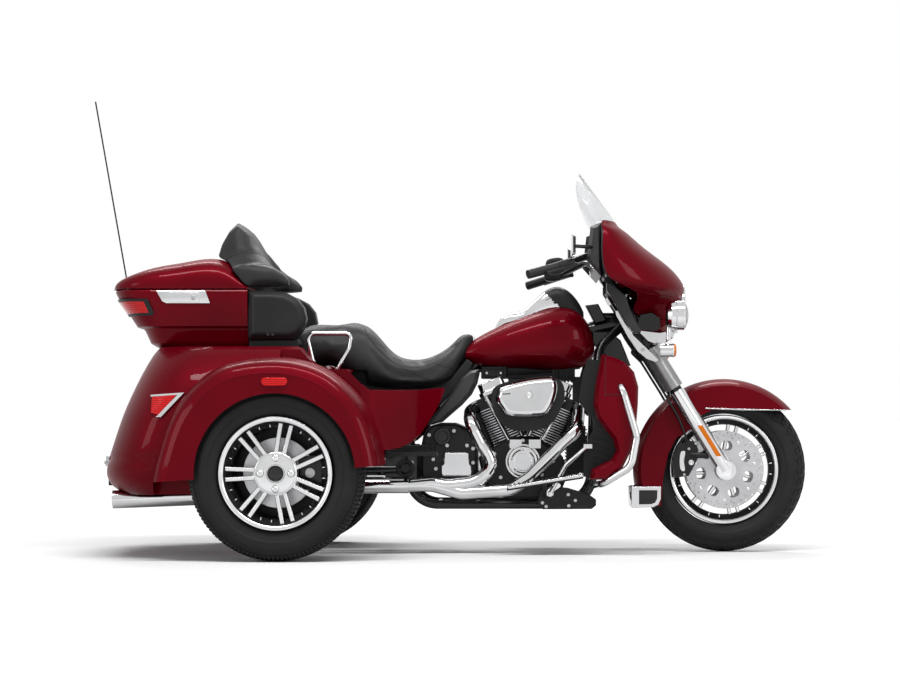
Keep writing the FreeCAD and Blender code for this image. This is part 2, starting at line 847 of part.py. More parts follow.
def body_form(inset):
    """Outside of the rear body, set in by a distance."""
    wires = [
        tail_plan(size.body_low_z + up * size.body_height, body_rear_x + forward * size.body_tail_slope,
                  body_front_x, across * size.body_half_width, size.body_corner_depth, inset)
        for up, forward, across in BODY_LEVEL_SHARES
    ]
    return Part.makeLoft(wires, True, False)


# Fender outline over the wheel, from its rear foot over the crown to its front foot and back below.
FENDER_SHARES = (
    (0.00, 0.00), (0.03, 0.26), (0.08, 0.52), (0.16, 0.74), (0.27, 0.91), (0.39, 0.98), (0.52, 1.00),
    (0.63, 0.98), (0.74, 0.91), (0.83, 0.79), (0.91, 0.62), (0.96, 0.40), (0.99, 0.17), (1.00, -0.10),
    (0.84, -0.45), (0.50, -0.60), (0.16, -0.45), (0.01, -0.25),
)
fender_corner = (rear_axle_x - size.fender_rear_reach, size.fender_rear_foot_z)
fender_line = placed(FENDER_SHARES, fender_corner, size.fender_length, size.fender_height)
outer_y = size.fender_half_width
crown = size.fender_crown
fender_outside = slab(fender_line, (
    (-size.body_side_y, 0),
    (crown * 2 - outer_y, 0),
    (crown - outer_y, crown * 0.13),
    (crown * 0.3 - outer_y, crown * 0.42),
    (-outer_y, crown),
))
wall = size.fender_wall
fender_inside = slab(fender_line, (
    (-size.body_side_y, wall),
    (crown * 2 - outer_y, wall),
    (crown - outer_y + wall * 0.5, crown * 0.13 + wall),
    (crown * 0.3 - outer_y + wall * 0.8, crown * 0.42 + wall),
    (wall - outer_y, crown + wall),
))
rear_axle_right = Vector(rear_axle_x, 0, size.rear_tyre_radius)
ACROSS = Vector(0, -1, 0)
arch = Part.makeCylinder(size.fender_arch_radius, outer_y, rear_axle_right, ACROSS)
reach = size.fender_length
feet = prism([
    Vector(fender_corner[0] - reach, 0, fender_corner[1] - reach * size.fender_foot_rise / reach),
    Vector(fender_corner[0], 0, fender_corner[1]),
    Vector(fender_corner[0] + size.fender_length, 0, fender_corner[1] + size.fender_foot_rise),
    Vector(fender_corner[0] + 2 * reach, 0, fender_corner[1] + size.fender_foot_rise),
    Vector(fender_corner[0] + 2 * reach, 0, -reach),
    Vector(fender_corner[0] - reach, 0, -reach),
], -2 * outer_y, 0)
fender = fender_outside.cut(feet).cut(fender_inside).cut(arch)
rear_fenders = add_piece("rear_fenders", both_sides(fender))

# The wheels, the seat's well, the trunk and the space round the axle are cut from the body.
trunk_front_x = rear_axle_x - size.trunk_front_reach
trunk_floor_z = size.trunk_floor_z
skin = size.body_wall
overrun = size.cut_overrun
far = size.wheelbase
body_outside = body_form(0)
body_inside = body_form(skin)
door_low_z = size.trunk_door_low_z
door_high_z = door_low_z + size.trunk_door_height
door_half = size.trunk_door_half_width
inner_side_y = size.body_side_y - skin
wheel_room = Part.makeCylinder(size.rear_tyre_radius + size.wheel_room, far, rear_axle_right, ACROSS)
wheel_room = wheel_room.cut(block((-far, -size.body_side_y, -far), (far, 0, far)))
trunk_room = body_inside.common(
    block((-far, -inner_side_y, trunk_floor_z), (trunk_front_x, inner_side_y, body_top_z - skin)))
tail_room = body_inside.common(
    block((-far, -inner_side_y, 0), (trunk_front_x + 2 * skin, inner_side_y, trunk_floor_z - skin)))
lobe_room = body_inside.common(
    block((-far, -far, 0), (trunk_front_x, -size.body_side_y, size.lobe_room_top_z)))
well_x = rear_axle_x + size.seat_well_reach
axle_room = block((trunk_front_x + skin, -inner_side_y, 0), (well_x - skin, inner_side_y, body_top_z - skin))
deck_room = block((well_x - 2 * skin, -inner_side_y, 0), (far, inner_side_y, size.seat_deck_z - skin))
seat_well = block((well_x, -far, size.seat_deck_z), (far, far, far))
flank_room = block((rear_axle_x, -far, 0), (far, -size.body_side_y, far))
axle_hole = Part.makeCylinder(size.axle_hole_radius, far, rear_axle_right, ACROSS)
axle_slot = block((rear_axle_x - size.axle_hole_radius, -far, 0),
                  (rear_axle_x + size.axle_hole_radius, 0, size.rear_tyre_radius))
door_hole = block((-far, -door_half, door_low_z), (trunk_front_x, door_half, door_high_z))
sided_cuts = [fender_outside, wheel_room, lobe_room, flank_room, axle_hole, axle_slot]
body_cuts = [trunk_room, tail_room, axle_room, deck_room, seat_well, door_hole]
for cut in sided_cuts:
    body_cuts += both_sides(cut)
plate_low_z = size.plate_holder_low_z
plate_holder = block((body_rear_x - size.plate_holder_proud, -size.plate_holder_half_width, plate_low_z),
                     (body_rear_x + size.hinge_depth, size.plate_holder_half_width,
                      plate_low_z + size.plate_holder_height))
plate_z = plate_low_z + size.plate_holder_height / 2
plate_holes = [
    Part.makeCylinder(size.plate_hole_radius, far, Vector(-far, y_sign * size.plate_hole_half_y,
                                                          plate_z + z_sign * size.plate_hole_half_z), Vector(1, 0, 0))
    for y_sign in (-1, 1) for z_sign in (-1, 1)
]


def hinge_solids(centre, along, outwards, up):
    """Lugs with their pin, and the knuckle with its leaf, of one hinge."""
    half = size.hinge_knuckle_length / 2
    lug_far = half + size.hinge_side_gap + size.hinge_lug_length
    pin = round_bar(centre - along * lug_far, centre + along * lug_far, size.hinge_pin_radius)
    lugs = []
    for side in (-1, 1):
        near_end = centre + along * (side * (half + size.hinge_side_gap))
        far_end = centre + along * (side * lug_far)
        lugs.append(round_bar(near_end, far_end, size.hinge_knuckle_radius - 2 * size.hinge_side_gap))
        foot = far_end - outwards * size.hinge_depth - up * size.hinge_depth
        lugs.append(corner_block(near_end, foot))
    bore = round_bar(centre - along * lug_far, centre + along * lug_far, size.hinge_pin_radius + size.pin_clearance)
    knuckle = round_bar(centre - along * half, centre + along * half, size.hinge_knuckle_radius)
    leaf = corner_block(centre - along * half, centre + along * half - outwards * size.hinge_depth
                        + up * size.hinge_leaf_height)
    return [pin, *lugs], [knuckle.fuse(leaf).cut(bore)]


def corner_block(first, second):
    """Box between two opposite corners in any order."""
    pairs = [sorted(pair) for pair in zip(first, second)]
    return block([low for low, high in pairs], [high for low, high in pairs])


door_pin_z = door_low_z - size.door_hinge_drop
door_pin_x = body_rear_x - size.door_gap
body_hinges = []
door_hinges = []
for side in (-1, 1):
    fixed, moving = hinge_solids(Vector(door_pin_x, side * size.door_hinge_y, door_pin_z), Vector(0, 1, 0),
                                 Vector(-1, 0, 0), Vector(0, 0, 1))
    body_hinges += fixed
    door_hinges += moving
muffler_start = Vector(size.muffler_front_x - size.header_bend * 1.6, -size.muffler_y, size.muffler_front_z)
muffler_end = Vector(size.muffler_rear_x, -size.muffler_y, size.muffler_rear_z)
muffler_room = round_bar(muffler_start, muffler_end * 2 - muffler_start, size.muffler_radius + size.running_clearance)
body_cuts += both_sides(muffler_room)
rear_body = add_piece("rear_body", [body_outside, plate_holder, *body_hinges], body_cuts + plate_holes)

# Trunk door: the tail's own skin within the opening, hung on two knuckles along its foot.
gap = size.door_gap
door_skin = body_outside.cut(body_inside).common(
    block((-far, gap - door_half, door_low_z + gap), (trunk_front_x - skin, door_half - gap, door_high_z - gap)))
below_door = body_form(-gap).common(block((-far, -far, 0), (far, far, door_low_z + gap)))
add_piece("trunk_door", [door_skin, *[leaf.cut(below_door).cut(body_inside) for leaf in door_hinges]])

# Side panels run forward from the body under the seat, and taper in plan.
PANEL_SHARES = ((0.00, 1.00), (0.10, 0.91), (0.72, 0.91), (0.91, 0.94), (1.00, 0.94), (0.96, 0.79), (0.78, 0.38),
                (0.59, 0.11), (0.27, 0.00), (0.00, 0.00))
PANEL_PLAN_SHARES = ((0.00, 1.00), (0.18, 0.99), (0.60, 0.68), (1.00, 0.46), (1.00, 0.42), (0.60, 0.63),
                     (0.18, 0.94), (0.00, 0.95))
panel_side = prism(placed(PANEL_SHARES, (body_front_x, size.side_panel_low_z), size.side_panel_length,
                          size.side_panel_height), -outer_y, 0)
panel_plan = plan_prism([(body_front_x + along * size.side_panel_length, -across * size.body_side_y)
                         for along, across in PANEL_PLAN_SHARES], 0, far)
side_panel = panel_side.common(panel_plan)
add_piece("side_panels", both_sides(side_panel), both_sides(fender_outside))

# Tail lamps stand proud of the tail's skin, side markers of the fenders'.
lamp_proud = size.lamp_proud
LAMP_SHARES = ((0.00, 0.92), (1.00, 1.00), (0.33, 0.00), (0.00, 0.12))
lamp_area = prism(placed(LAMP_SHARES, (rear_axle_x - size.tail_lamp_reach, size.tail_lamp_low_z),
                         size.tail_lamp_length, size.tail_lamp_height), -outer_y, -size.body_side_y)
tail_lamp = lamp_area.common(body_form(-lamp_proud).cut(body_outside)).cut(fender_outside)
marker = slab([Vector(x, 0, z) for x, z in (
    (rear_axle_x - size.marker_length / 2, size.marker_z - size.marker_height / 2),
    (rear_axle_x + size.marker_length / 2, size.marker_z - size.marker_height / 2),
    (rear_axle_x + size.marker_length / 2, size.marker_z + size.marker_height / 2),
    (rear_axle_x - size.marker_length / 2, size.marker_z + size.marker_height / 2),
)], ((-outer_y + crown, 0), (-outer_y - lamp_proud, 0)), False).cut(fender_outside)
add_piece("tail_lamps", both_sides(tail_lamp) + both_sides(marker))

# Top box: a hollow base on the body's deck, with a domed lid over it.
BOX_LEVEL_SHARES = ((0.00, 1.00, 0.80), (0.08, 0.81, 0.84), (0.30, 0.68, 0.89), (0.37, 0.50, 0.93),
                    (0.62, 0.29, 0.97), (0.85, 0.08, 1.00), (1.00, 0.00, 1.00))
box_rear_x = rear_axle_x - size.box_rear_reach
box_front_x = box_rear_x + size.box_length
box_seam_z = body_top_z + size.box_base_height


def box_form(inset):
    """Outside of the top box's base, set in by a distance."""
    wires = [
        tail_plan(body_top_z + up * size.box_base_height, box_rear_x + forward * size.box_tail_slope,
                  box_front_x - inset, across * size.box_half_width, size.box_corner_depth, inset)
        for up, forward, across in BOX_LEVEL_SHARES
    ]
    return Part.makeLoft(wires, True, True)


box_wall = size.box_wall
box_outside = box_form(0)
box_room = box_form(box_wall).common(block((-far, -far, body_top_z + box_wall), (far, far, far)))
lid_pin_y = size.box_half_width + size.hinge_knuckle_radius + size.hinge_side_gap * 3
base_hinges = []
lid_hinges = []
for hinge_x in (size.lid_hinge_rear_x, size.lid_hinge_front_x):
    fixed, moving = hinge_solids(Vector(hinge_x, lid_pin_y, box_seam_z), Vector(1, 0, 0), Vector(0, 1, 0),
                                 Vector(0, 0, 1))
    base_hinges += fixed
    lid_hinges += moving
add_piece("tour_box_base", [box_outside, *base_hinges], [box_room])

BOX_LAMP_SHARES = ((0.00, 1.00), (0.84, 1.00), (1.00, 0.18), (0.95, 0.05), (0.00, 0.00))
box_lamp_area = prism(placed(BOX_LAMP_SHARES, (box_rear_x, size.box_lamp_low_z), size.box_lamp_length,
                             size.box_lamp_height), -far, -size.box_lamp_inner_y)
box_lamp = box_lamp_area.common(box_form(-lamp_proud).cut(box_outside))
box_lamp = box_lamp.cut(block((box_rear_x + size.box_lamp_length, -far, 0), (far, far, far)))
add_piece("tour_box_lamps", both_sides(box_lamp))

# Lid sections give how far forward, half width, foot and top.
LID_SHARES = (
    (0.00, 0.44, 0, 0.05), (0.02, 0.60, 0, 0.17), (0.07, 0.80, 0, 0.34), (0.16, 0.93, 0, 0.51),
    (0.30, 0.99, 0, 0.71), (0.50, 1.00, 0, 0.87), (0.72, 1.00, 0, 1.00), (0.84, 1.00, 0, 0.87),
    (0.94, 0.99, 0, 0.45), (1.00, 0.97, 0, 0.14),
)
lid_foot_z = box_seam_z + size.lid_gap
lid_place = (box_rear_x, lid_foot_z)
lid_squareness = 4
lid_outside = hull(LID_SHARES, lid_place, size.box_length, size.box_half_width, size.lid_height, lid_squareness, dome)
lid_room = hull(LID_SHARES, lid_place, size.box_length, size.box_half_width, size.lid_height, lid_squareness, dome,
                box_wall)
below_lid = box_form(-size.lid_gap).common(block((-far, -far, 0), (far, far, lid_foot_z)))
add_piece("tour_box_lid", [lid_outside, *[leaf.cut(below_lid) for leaf in lid_hinges]], [lid_room])

# Backrest: a tall pad between two arms, all one cushion round the lid's front.
PAD_MIDDLE_SHARES = ((0.61, 0.03), (0.61, 0.18), (0.58, 0.37), (0.50, 0.63), (0.40, 0.87), (0.26, 1.00),
                     (0.14, 0.87), (0.05, 0.69), (0.00, 0.51), (0.08, 0.37), (0.25, 0.18), (0.40, 0.00))
PAD_ARM_SHARES = ((0.98, 0.03), (0.99, 0.12), (0.91, 0.23), (0.78, 0.31), (0.58, 0.36), (0.43, 0.36),
                  (0.30, 0.34), (0.24, 0.29), (0.25, 0.23), (0.32, 0.14), (0.38, 0.05), (0.45, 0.00))
pad_corner = (box_front_x - size.backrest_rear_reach, lid_foot_z)
pad_middle = placed(PAD_MIDDLE_SHARES, pad_corner, size.backrest_length, size.backrest_height)
pad_arm = placed(PAD_ARM_SHARES, pad_corner, size.backrest_length, size.backrest_height)
pad_round = size.cushion_round


def pad_wire(y, points, inset=0):
    """One upright outline of the backrest."""
    return closed_wire([point + Vector(0, y, 0) for point in set_in(points, inset)], False)


def blended(first, second, part):
    """Points a part of the way from one outline to another."""
    return [a * (1 - part) + b * part for a, b in zip(first, second)]


pad_half = size.backrest_half_width
pad_rows = (
    (1.00, pad_arm, pad_round * 0.4), (0.97, pad_arm, pad_round * 0.15), (0.88, pad_arm, 0),
    (0.70, blended(pad_arm, pad_middle, 0.35), 0), (0.50, blended(pad_arm, pad_middle, 0.9), 0),
    (0.25, pad_middle, 0), (0.00, pad_middle, 0),
)
pad_wires = [pad_wire(-share * pad_half, points, inset) for share, points, inset in pad_rows]
pad_wires += [pad_wire(share * pad_half, points, inset) for share, points, inset in reversed(pad_rows[:-1])]
backrest_form = Part.makeLoft(pad_wires, True, True)
add_piece("backrest", [backrest_form], [lid_outside, block((-far, -far, 0), (far, far, lid_foot_z))])

# Speaker pods, which are also arm rests, stand at the front of the top box.
POD_SHARES = ((0.00, 1.00), (0.39, 1.00), (0.65, 0.96), (0.84, 0.84), (0.96, 0.66), (1.00, 0.44), (0.97, 0.26),
              (0.88, 0.10), (0.73, 0.01), (0.00, 0.00))
pod_outline = placed(POD_SHARES, (box_front_x, size.pod_low_z), size.pod_length, size.pod_height)
pod_inner_y = size.pod_outer_y - size.pod_width
pod = slab(pod_outline, ((-pod_inner_y, 0), (-size.pod_outer_y + pad_round, 0),
                         (-size.pod_outer_y, pad_round)), False)
pod = pod.common(block((box_front_x, -far, 0), (far, 0, box_seam_z - size.seat_clearance)))
add_piece("speaker_pods", both_sides(pod))

# Seat: one cushion for both riders, its sections from the tail forward.
SEAT_SHARES = (
    (0.00, 0.80, 0.30, 0.92), (0.08, 0.86, 0.28, 0.95), (0.25, 0.88, 0.28, 0.96), (0.33, 0.90, 0.12, 0.99),
    (0.40, 0.92, 0.04, 0.93), (0.47, 0.96, 0.01, 0.74), (0.55, 1.00, 0.00, 0.52), (0.63, 1.00, 0.00, 0.44),
    (0.71, 0.98, 0.00, 0.44), (0.79, 0.88, 0.02, 0.51), (0.87, 0.70, 0.10, 0.65), (0.93, 0.50, 0.34, 0.81),
    (0.98, 0.34, 0.58, 0.85), (1.00, 0.18, 0.70, 0.79),
)
seat_squareness = 3.4
seat_form = hull(SEAT_SHARES, (rear_axle_x + size.seat_rear_reach, size.seat_low_z), size.seat_length,
                 size.seat_half_width, size.seat_height, seat_squareness)
seat_under = block((-far, -far, 0), (body_front_x + size.seat_clearance, far, size.seat_deck_z))
add_piece("seat", [seat_form], [seat_under])

# Fuel tank and the console along its top.
TANK_SHARES = (
    (0.00, 0.42, 0.22, 0.34), (0.06, 0.56, 0.13, 0.44), (0.18, 0.72, 0.07, 0.60), (0.36, 0.88, 0.04, 0.78),
    (0.56, 0.98, 0.02, 0.94), (0.72, 1.00, 0.00, 1.02), (0.84, 0.94, 0.02, 0.99), (0.92, 0.80, 0.06, 0.86),
    (0.98, 0.55, 0.16, 0.62), (1.00, 0.34, 0.26, 0.48),
)
tank_place = (size.tank_rear_x, size.tank_low_z)
tank_squareness = 2.5
tank_form = hull(TANK_SHARES, tank_place, size.tank_length, size.tank_half_width, size.tank_height, tank_squareness)
backbone_room = block((0, -size.tunnel_half_width, 0), (far, size.tunnel_half_width, size.tunnel_top_z))
CONSOLE_SHARES = (
    (0.00, 0.50, -0.20, 0.03), (0.20, 0.66, 0.05, 0.27), (0.42, 0.80, 0.25, 0.54), (0.60, 0.94, 0.40, 0.84),
    (0.75, 1.00, 0.45, 1.00), (0.86, 0.96, 0.40, 0.92), (0.95, 0.80, 0.35, 0.72), (1.00, 0.60, 0.30, 0.52),
)
console_squareness = 2.8
console_form = hull(CONSOLE_SHARES, (size.console_rear_x, size.console_low_z), size.console_length,
                    size.console_half_width, size.console_height, console_squareness)
add_piece("tank_console", [console_form], [tank_form, seat_form])

# Side covers under the seat's nose.
COVER_SHARES = ((1.00, 1.00), (0.83, 0.97), (0.66, 0.84), (0.54, 0.67), (0.29, 0.37), (0.06, 0.11), (0.00, 0.00),
                (0.25, 0.06), (0.64, 0.37), (0.83, 0.56), (0.94, 0.76))
cover_outline = placed(COVER_SHARES, (size.side_cover_rear_x, size.side_cover_low_z), size.side_cover_length,
                       size.side_cover_height)
cover_outer_y = size.side_cover_outer_y
cover_depth = size.side_cover_depth
side_cover = slab(cover_outline, ((cover_depth - cover_outer_y, 0), (cover_depth / 2 - cover_outer_y, 0),
                                  (-cover_outer_y, cover_depth / 4)), False)
add_piece("side_covers", both_sides(side_cover), [seat_form, tank_form, *both_sides(side_panel)])

# Steering. The steering axis leans back from the ground, the fork a little more.
steering_lean = math.tan(math.radians(size.steering_angle))
fork_lean = math.tan(math.radians(size.fork_angle))
STEERING_AXIS = Vector(-steering_lean, 0, 1).normalize()


def on_steering_axis(z):
    """Point of the steering axis at a height."""
    return Vector(size.steering_ground_x - z * steering_lean, 0, z)


def on_fork(z, side=-1):
    """Point of a fork leg's axis at a height."""
    return Vector(front_axle_x - (z - size.front_tyre_radius) * fork_lean, side * size.fork_half_spacing, z)


high_z = size.high_clamp_z
low_z = size.low_clamp_z
clamp = size.clamp_thickness
fork_top_z = high_z + clamp
FORK_AXIS = (on_fork(fork_top_z) - on_fork(0)).normalize()
leg = round_bar(on_fork(size.front_tyre_radius), on_fork(fork_top_z), size.fork_tube_radius)
slider = round_bar(on_fork(size.front_tyre_radius), on_fork(size.slider_top_z), size.slider_radius)
foot_y = size.fork_half_spacing + size.fork_foot_width / 2
foot = round_bar(Vector(front_axle_x, -foot_y, size.front_tyre_radius),
                 Vector(front_axle_x, size.fork_foot_width - foot_y, size.front_tyre_radius), size.fork_foot_radius)
axle = round_bar(Vector(front_axle_x, -foot_y, size.front_tyre_radius),
                 Vector(front_axle_x, foot_y, size.front_tyre_radius), size.front_axle_radius)
fork_legs = add_piece("fork_legs", both_sides(leg) + both_sides(slider) + both_sides(foot) + [axle])

# Clamps lie square to the fork, hold both legs and carry the stem.
def clamp_plate(z):
    """Plate round both legs at a height, with a boss for the stem."""
    plate = Part.makeBox(size.clamp_depth, 2 * size.clamp_half_width, clamp,
                         Vector(-size.clamp_depth / 2, -size.clamp_half_width, -clamp / 2))
    corners = [edge for edge in plate.Edges if abs(edge.tangentAt(edge.FirstParameter).z) > 0.9]
    plate = plate.makeFillet(size.clamp_depth * 0.4, corners)
    boss_x = (on_steering_axis(z).x - on_fork(z).x) * math.cos(math.radians(size.fork_angle))
    plate = plate.fuse(Part.makeCylinder(size.head_radius, clamp, Vector(boss_x, 0, -clamp / 2)))
    plate.Placement = Placement(Vector(on_fork(z).x, 0, z), Rotation(Vector(0, 1, 0), -size.fork_angle))
    return plate


stem = round_bar(on_steering_axis(low_z), on_steering_axis(high_z), size.stem_radius)
leg_holes = both_sides(round_bar(on_fork(0), on_fork(fork_top_z + clamp), size.fork_tube_radius))
add_piece("fork_clamps", [clamp_plate(low_z), clamp_plate(high_z), stem], leg_holes)

cover = round_bar(on_fork(size.fork_cover_low_z), on_fork(size.fork_cover_high_z), size.fork_cover_radius,
                  size.fork_tube_radius)
add_piece("fork_covers", both_sides(cover))

# Handlebar: one bent tube through the risers to both grips.
riser_x = on_fork(fork_top_z).x
riser_top_z = fork_top_z + size.riser_height
grip_end = Vector(size.grip_end_x, -size.grip_end_y, size.grip_end_z)
bar_corner = Vector((riser_x + size.grip_end_x) / 2 + size.bar_rise, -size.bar_spread, riser_top_z + size.bar_rise)
bar_elbow = Vector(size.grip_end_x + size.bar_spread / 2, -size.grip_end_y + size.grip_length / 2,
                   size.grip_end_z + size.bar_rise / 2)
bar_middle = Vector(riser_x, -2 * size.riser_half_spacing, riser_top_z)
half_route = [grip_end, bar_elbow, bar_corner, bar_middle]
bar_route = half_route + [Vector(point.x, -point.y, point.z) for point in reversed(half_route)]
bar = bent_tube(bar_route, size.handlebar_radius, size.handlebar_bend)
riser = round_bar(Vector(riser_x, -size.riser_half_spacing, high_z),
                  Vector(riser_x, -size.riser_half_spacing, riser_top_z), size.riser_radius)
clamp_solids = [clamp_plate(high_z), *leg_holes]
handlebar = add_piece("handlebar", [bar, *both_sides(riser)], clamp_solids)

grip_way = (bar_elbow - grip_end).normalize()
grip = round_bar(grip_end - grip_way * size.pin_clearance, grip_end + grip_way * size.grip_length, size.grip_radius)
control_start = grip_end + grip_way * size.grip_length
control = round_bar(control_start, control_start + grip_way * size.control_length, size.control_width / 2)
lever_root = control_start + grip_way * (size.control_length / 2)
lever_tip = grip_end + grip_way * (size.grip_length * 0.2) + Vector(size.lever_reach, 0, 0)
lever = round_bar(lever_root + Vector(size.lever_reach, 0, 0), lever_tip, size.lever_radius)
perch = round_bar(lever_root, lever_root + Vector(size.lever_reach, 0, 0), size.lever_radius * 1.6)
add_piece("hand_controls", both_sides(grip) + both_sides(control) + both_sides(lever) + both_sides(perch), [bar])

# Fairing: bowed level sections. Heights, nose, tips and half widths are shares of its own sizes.
FAIRING_SHARES = (
    (0.00, 0.82, 0.50, 0.34), (0.14, 0.94, 0.45, 0.38), (0.28, 0.98, 0.41, 0.54), (0.38, 0.99, 0.30, 0.86),
    (0.47, 0.95, 0.08, 0.98), (0.56, 0.86, 0.02, 1.00), (0.68, 0.68, 0.00, 1.00), (0.80, 0.48, 0.00, 0.98),
    (0.92, 0.30, 0.00, 0.92), (1.00, 0.19, 0.00, 0.80),
)
fairing_tail_x = size.fairing_nose_x - size.fairing_depth
nose_bore = Part.makeCylinder(size.headlamp_radius + size.pin_clearance, far,
                              Vector(fairing_tail_x, 0, size.headlamp_z), Vector(1, 0, 0))


def fairing_form(inset, filled):
    """The fairing's shell, or all that it holds back to its tips."""
    wires = [
        bow(size.fairing_low_z + up * size.fairing_height,
            fairing_tail_x + nose * size.fairing_depth - inset,
            fairing_tail_x + tip * size.fairing_depth - inset,
            across * size.fairing_half_width - inset, size.fairing_wall, filled)
        for up, nose, tip, across in FAIRING_SHARES
    ]
    return Part.makeLoft(wires, True, False)


fairing_outer = add_piece("fairing_outer", [fairing_form(0, False)], [nose_bore, *leg_holes])

inner_fill = fairing_form(size.fairing_wall + size.pin_clearance, True)
fairing_top_z = size.fairing_low_z + size.fairing_height
inner_low = block((0, -far, size.inner_fairing_low_z), (far, far, fairing_top_z - 2 * size.fairing_wall))
inner_rear_x = fairing_tail_x - size.inner_fairing_depth
rim_half = size.fairing_half_width * 0.96
inner_rim = slab([Vector(x, 0, z) for x, z in (
    (inner_rear_x, size.inner_fairing_low_z + size.inner_fairing_depth),
    (fairing_tail_x - size.fairing_wall - size.pin_clearance, size.inner_fairing_low_z),
    (fairing_tail_x - size.fairing_wall - size.pin_clearance, fairing_top_z - 2 * size.fairing_wall),
    (inner_rear_x + size.dash_recess / 2, fairing_top_z - 5 * size.fairing_wall),
)], ((-rim_half, size.dash_recess * 0.4), (-rim_half + size.dash_recess, 0), (rim_half - size.dash_recess, 0),
     (rim_half, size.dash_recess * 0.4)), False)
dash_cut = block((0, -rim_half + size.dash_recess, 0),
                 (inner_rear_x + size.dash_recess, rim_half - size.dash_recess, far))
add_piece("fairing_inner", [inner_fill.common(inner_low), inner_rim], [dash_cut, fairing_outer, handlebar])

# Windshield: a bowed sheet that rises from the fairing's brow.
SCREEN_SHARES = ((0.00, 1.00, 1.00, 0.98), (0.30, 0.71, 0.80, 0.96), (0.58, 0.42, 0.66, 0.84),
                 (0.80, 0.20, 0.60, 0.62), (0.94, 0.06, 0.62, 0.34), (1.00, 0.00, 0.70, 0.14))
screen_foot_z = size.fairing_low_z + size.fairing_height + size.pin_clearance
screen_wires = []
for up, lean, tip, across in SCREEN_SHARES:
    nose_x = size.screen_foot_x - (1 - lean) * size.screen_lean
    tip_x = size.screen_foot_x - size.screen_lean + (tip - 0.7) * size.screen_lean
    screen_wires.append(bow(screen_foot_z + up * size.screen_height, nose_x, min(tip_x, nose_x - size.screen_wall),
                            across * size.screen_half_width, size.screen_wall))
add_piece("windshield", [Part.makeLoft(screen_wires, True, False)])

# Headlamp in the fairing's nose.
lamp_rear = Vector(size.headlamp_front_x - size.headlamp_depth, 0, size.headlamp_z)
lamp_profile = Part.makePolygon([
    lamp_rear,
    lamp_rear + Vector(0, size.headlamp_radius * 0.7, 0),
    lamp_rear + Vector(size.headlamp_depth * 0.4, size.headlamp_radius, 0),
    lamp_rear + Vector(size.headlamp_depth * 0.72, size.headlamp_radius, 0),
    lamp_rear + Vector(size.headlamp_depth * 0.8, size.headlamp_radius * 0.9, 0),
    lamp_rear + Vector(size.headlamp_depth * 0.95, size.headlamp_radius * 0.5, 0),
    lamp_rear + Vector(size.headlamp_depth, 0, 0),
    lamp_rear,
])
headlamp = Part.Face(lamp_profile).revolve(lamp_rear, Vector(1, 0, 0), 360)
add_piece("headlamp", [headlamp])

# Lamp bar across the fork covers, with spot lamps and turn lamps.
# Shell of a spot lamp: how far along and its radius, from its back to its glass.
SPOT_SHARES = ((0.00, 0.55), (0.10, 0.80), (0.28, 0.95), (0.50, 1.00), (0.90, 1.00), (1.00, 0.94))
# The wing that carries a spot lamp beside the fork cover, in side view.
WING_SHARES = ((0.00, 0.86), (0.12, 0.60), (0.30, 0.14), (0.46, 0.00), (0.74, 0.10), (0.94, 0.42), (1.00, 0.78),
               (0.90, 1.00), (0.60, 0.84), (0.34, 0.92), (0.08, 1.00))
bar_end = Vector(size.lamp_bar_x, -size.lamp_bar_half_width, size.lamp_bar_z)
lamp_bar = round_bar(bar_end, Vector(bar_end.x, -bar_end.y, bar_end.z), size.lamp_bar_radius)
spot_rear = Vector(size.lamp_bar_x + size.spot_lamp_forward, -size.spot_lamp_y, size.spot_lamp_z)
spot_tip = spot_rear + Vector(size.spot_lamp_depth, 0, 0)
spot_rings = [
    Part.Wire(Part.makeCircle(size.spot_lamp_radius * radius, spot_rear + (spot_tip - spot_rear) * along,
                              Vector(1, 0, 0)))
    for along, radius in SPOT_SHARES
]
spot = Part.makeLoft(spot_rings, True, True)
spot_stem = round_bar(Vector(spot_rear.x + size.lamp_bar_radius, spot_rear.y, size.lamp_bar_z),
                      Vector(spot_rear.x + size.lamp_bar_radius, spot_rear.y, size.spot_lamp_z),
                      size.lamp_bar_radius * 0.8)
wing_line = placed(WING_SHARES, (size.lamp_wing_rear_x, size.lamp_wing_low_z), size.lamp_wing_length,
                   size.lamp_wing_height)
wing_outer_y = size.lamp_wing_inner_y + size.lamp_wing_width
wing = slab(wing_line, ((-size.lamp_wing_inner_y, size.lamp_wing_width * 0.2),
                        (-size.lamp_wing_inner_y - size.lamp_wing_width * 0.3, 0),
                        (size.lamp_wing_width * 0.3 - wing_outer_y, 0),
                        (-wing_outer_y, size.lamp_wing_width * 0.2)), False)
turn_rear = Vector(size.lamp_bar_x, -size.turn_lamp_y, size.lamp_bar_z - size.turn_lamp_drop)
turn_lamp = round_bar(turn_rear, turn_rear + Vector(size.turn_lamp_depth, 0, 0), size.turn_lamp_radius)
turn_stem = round_bar(turn_rear + Vector(size.lamp_bar_radius, 0, 0),
                      Vector(turn_rear.x + size.lamp_bar_radius, turn_rear.y, size.lamp_bar_z),
                      size.lamp_bar_radius * 0.8)
add_piece("lamp_bar", [lamp_bar, *both_sides(spot), *both_sides(turn_lamp), *both_sides(turn_stem),
                       *both_sides(spot_stem), *both_sides(wing)],
          [clamp_plate(low_z), *both_sides(cover), fairing_outer])

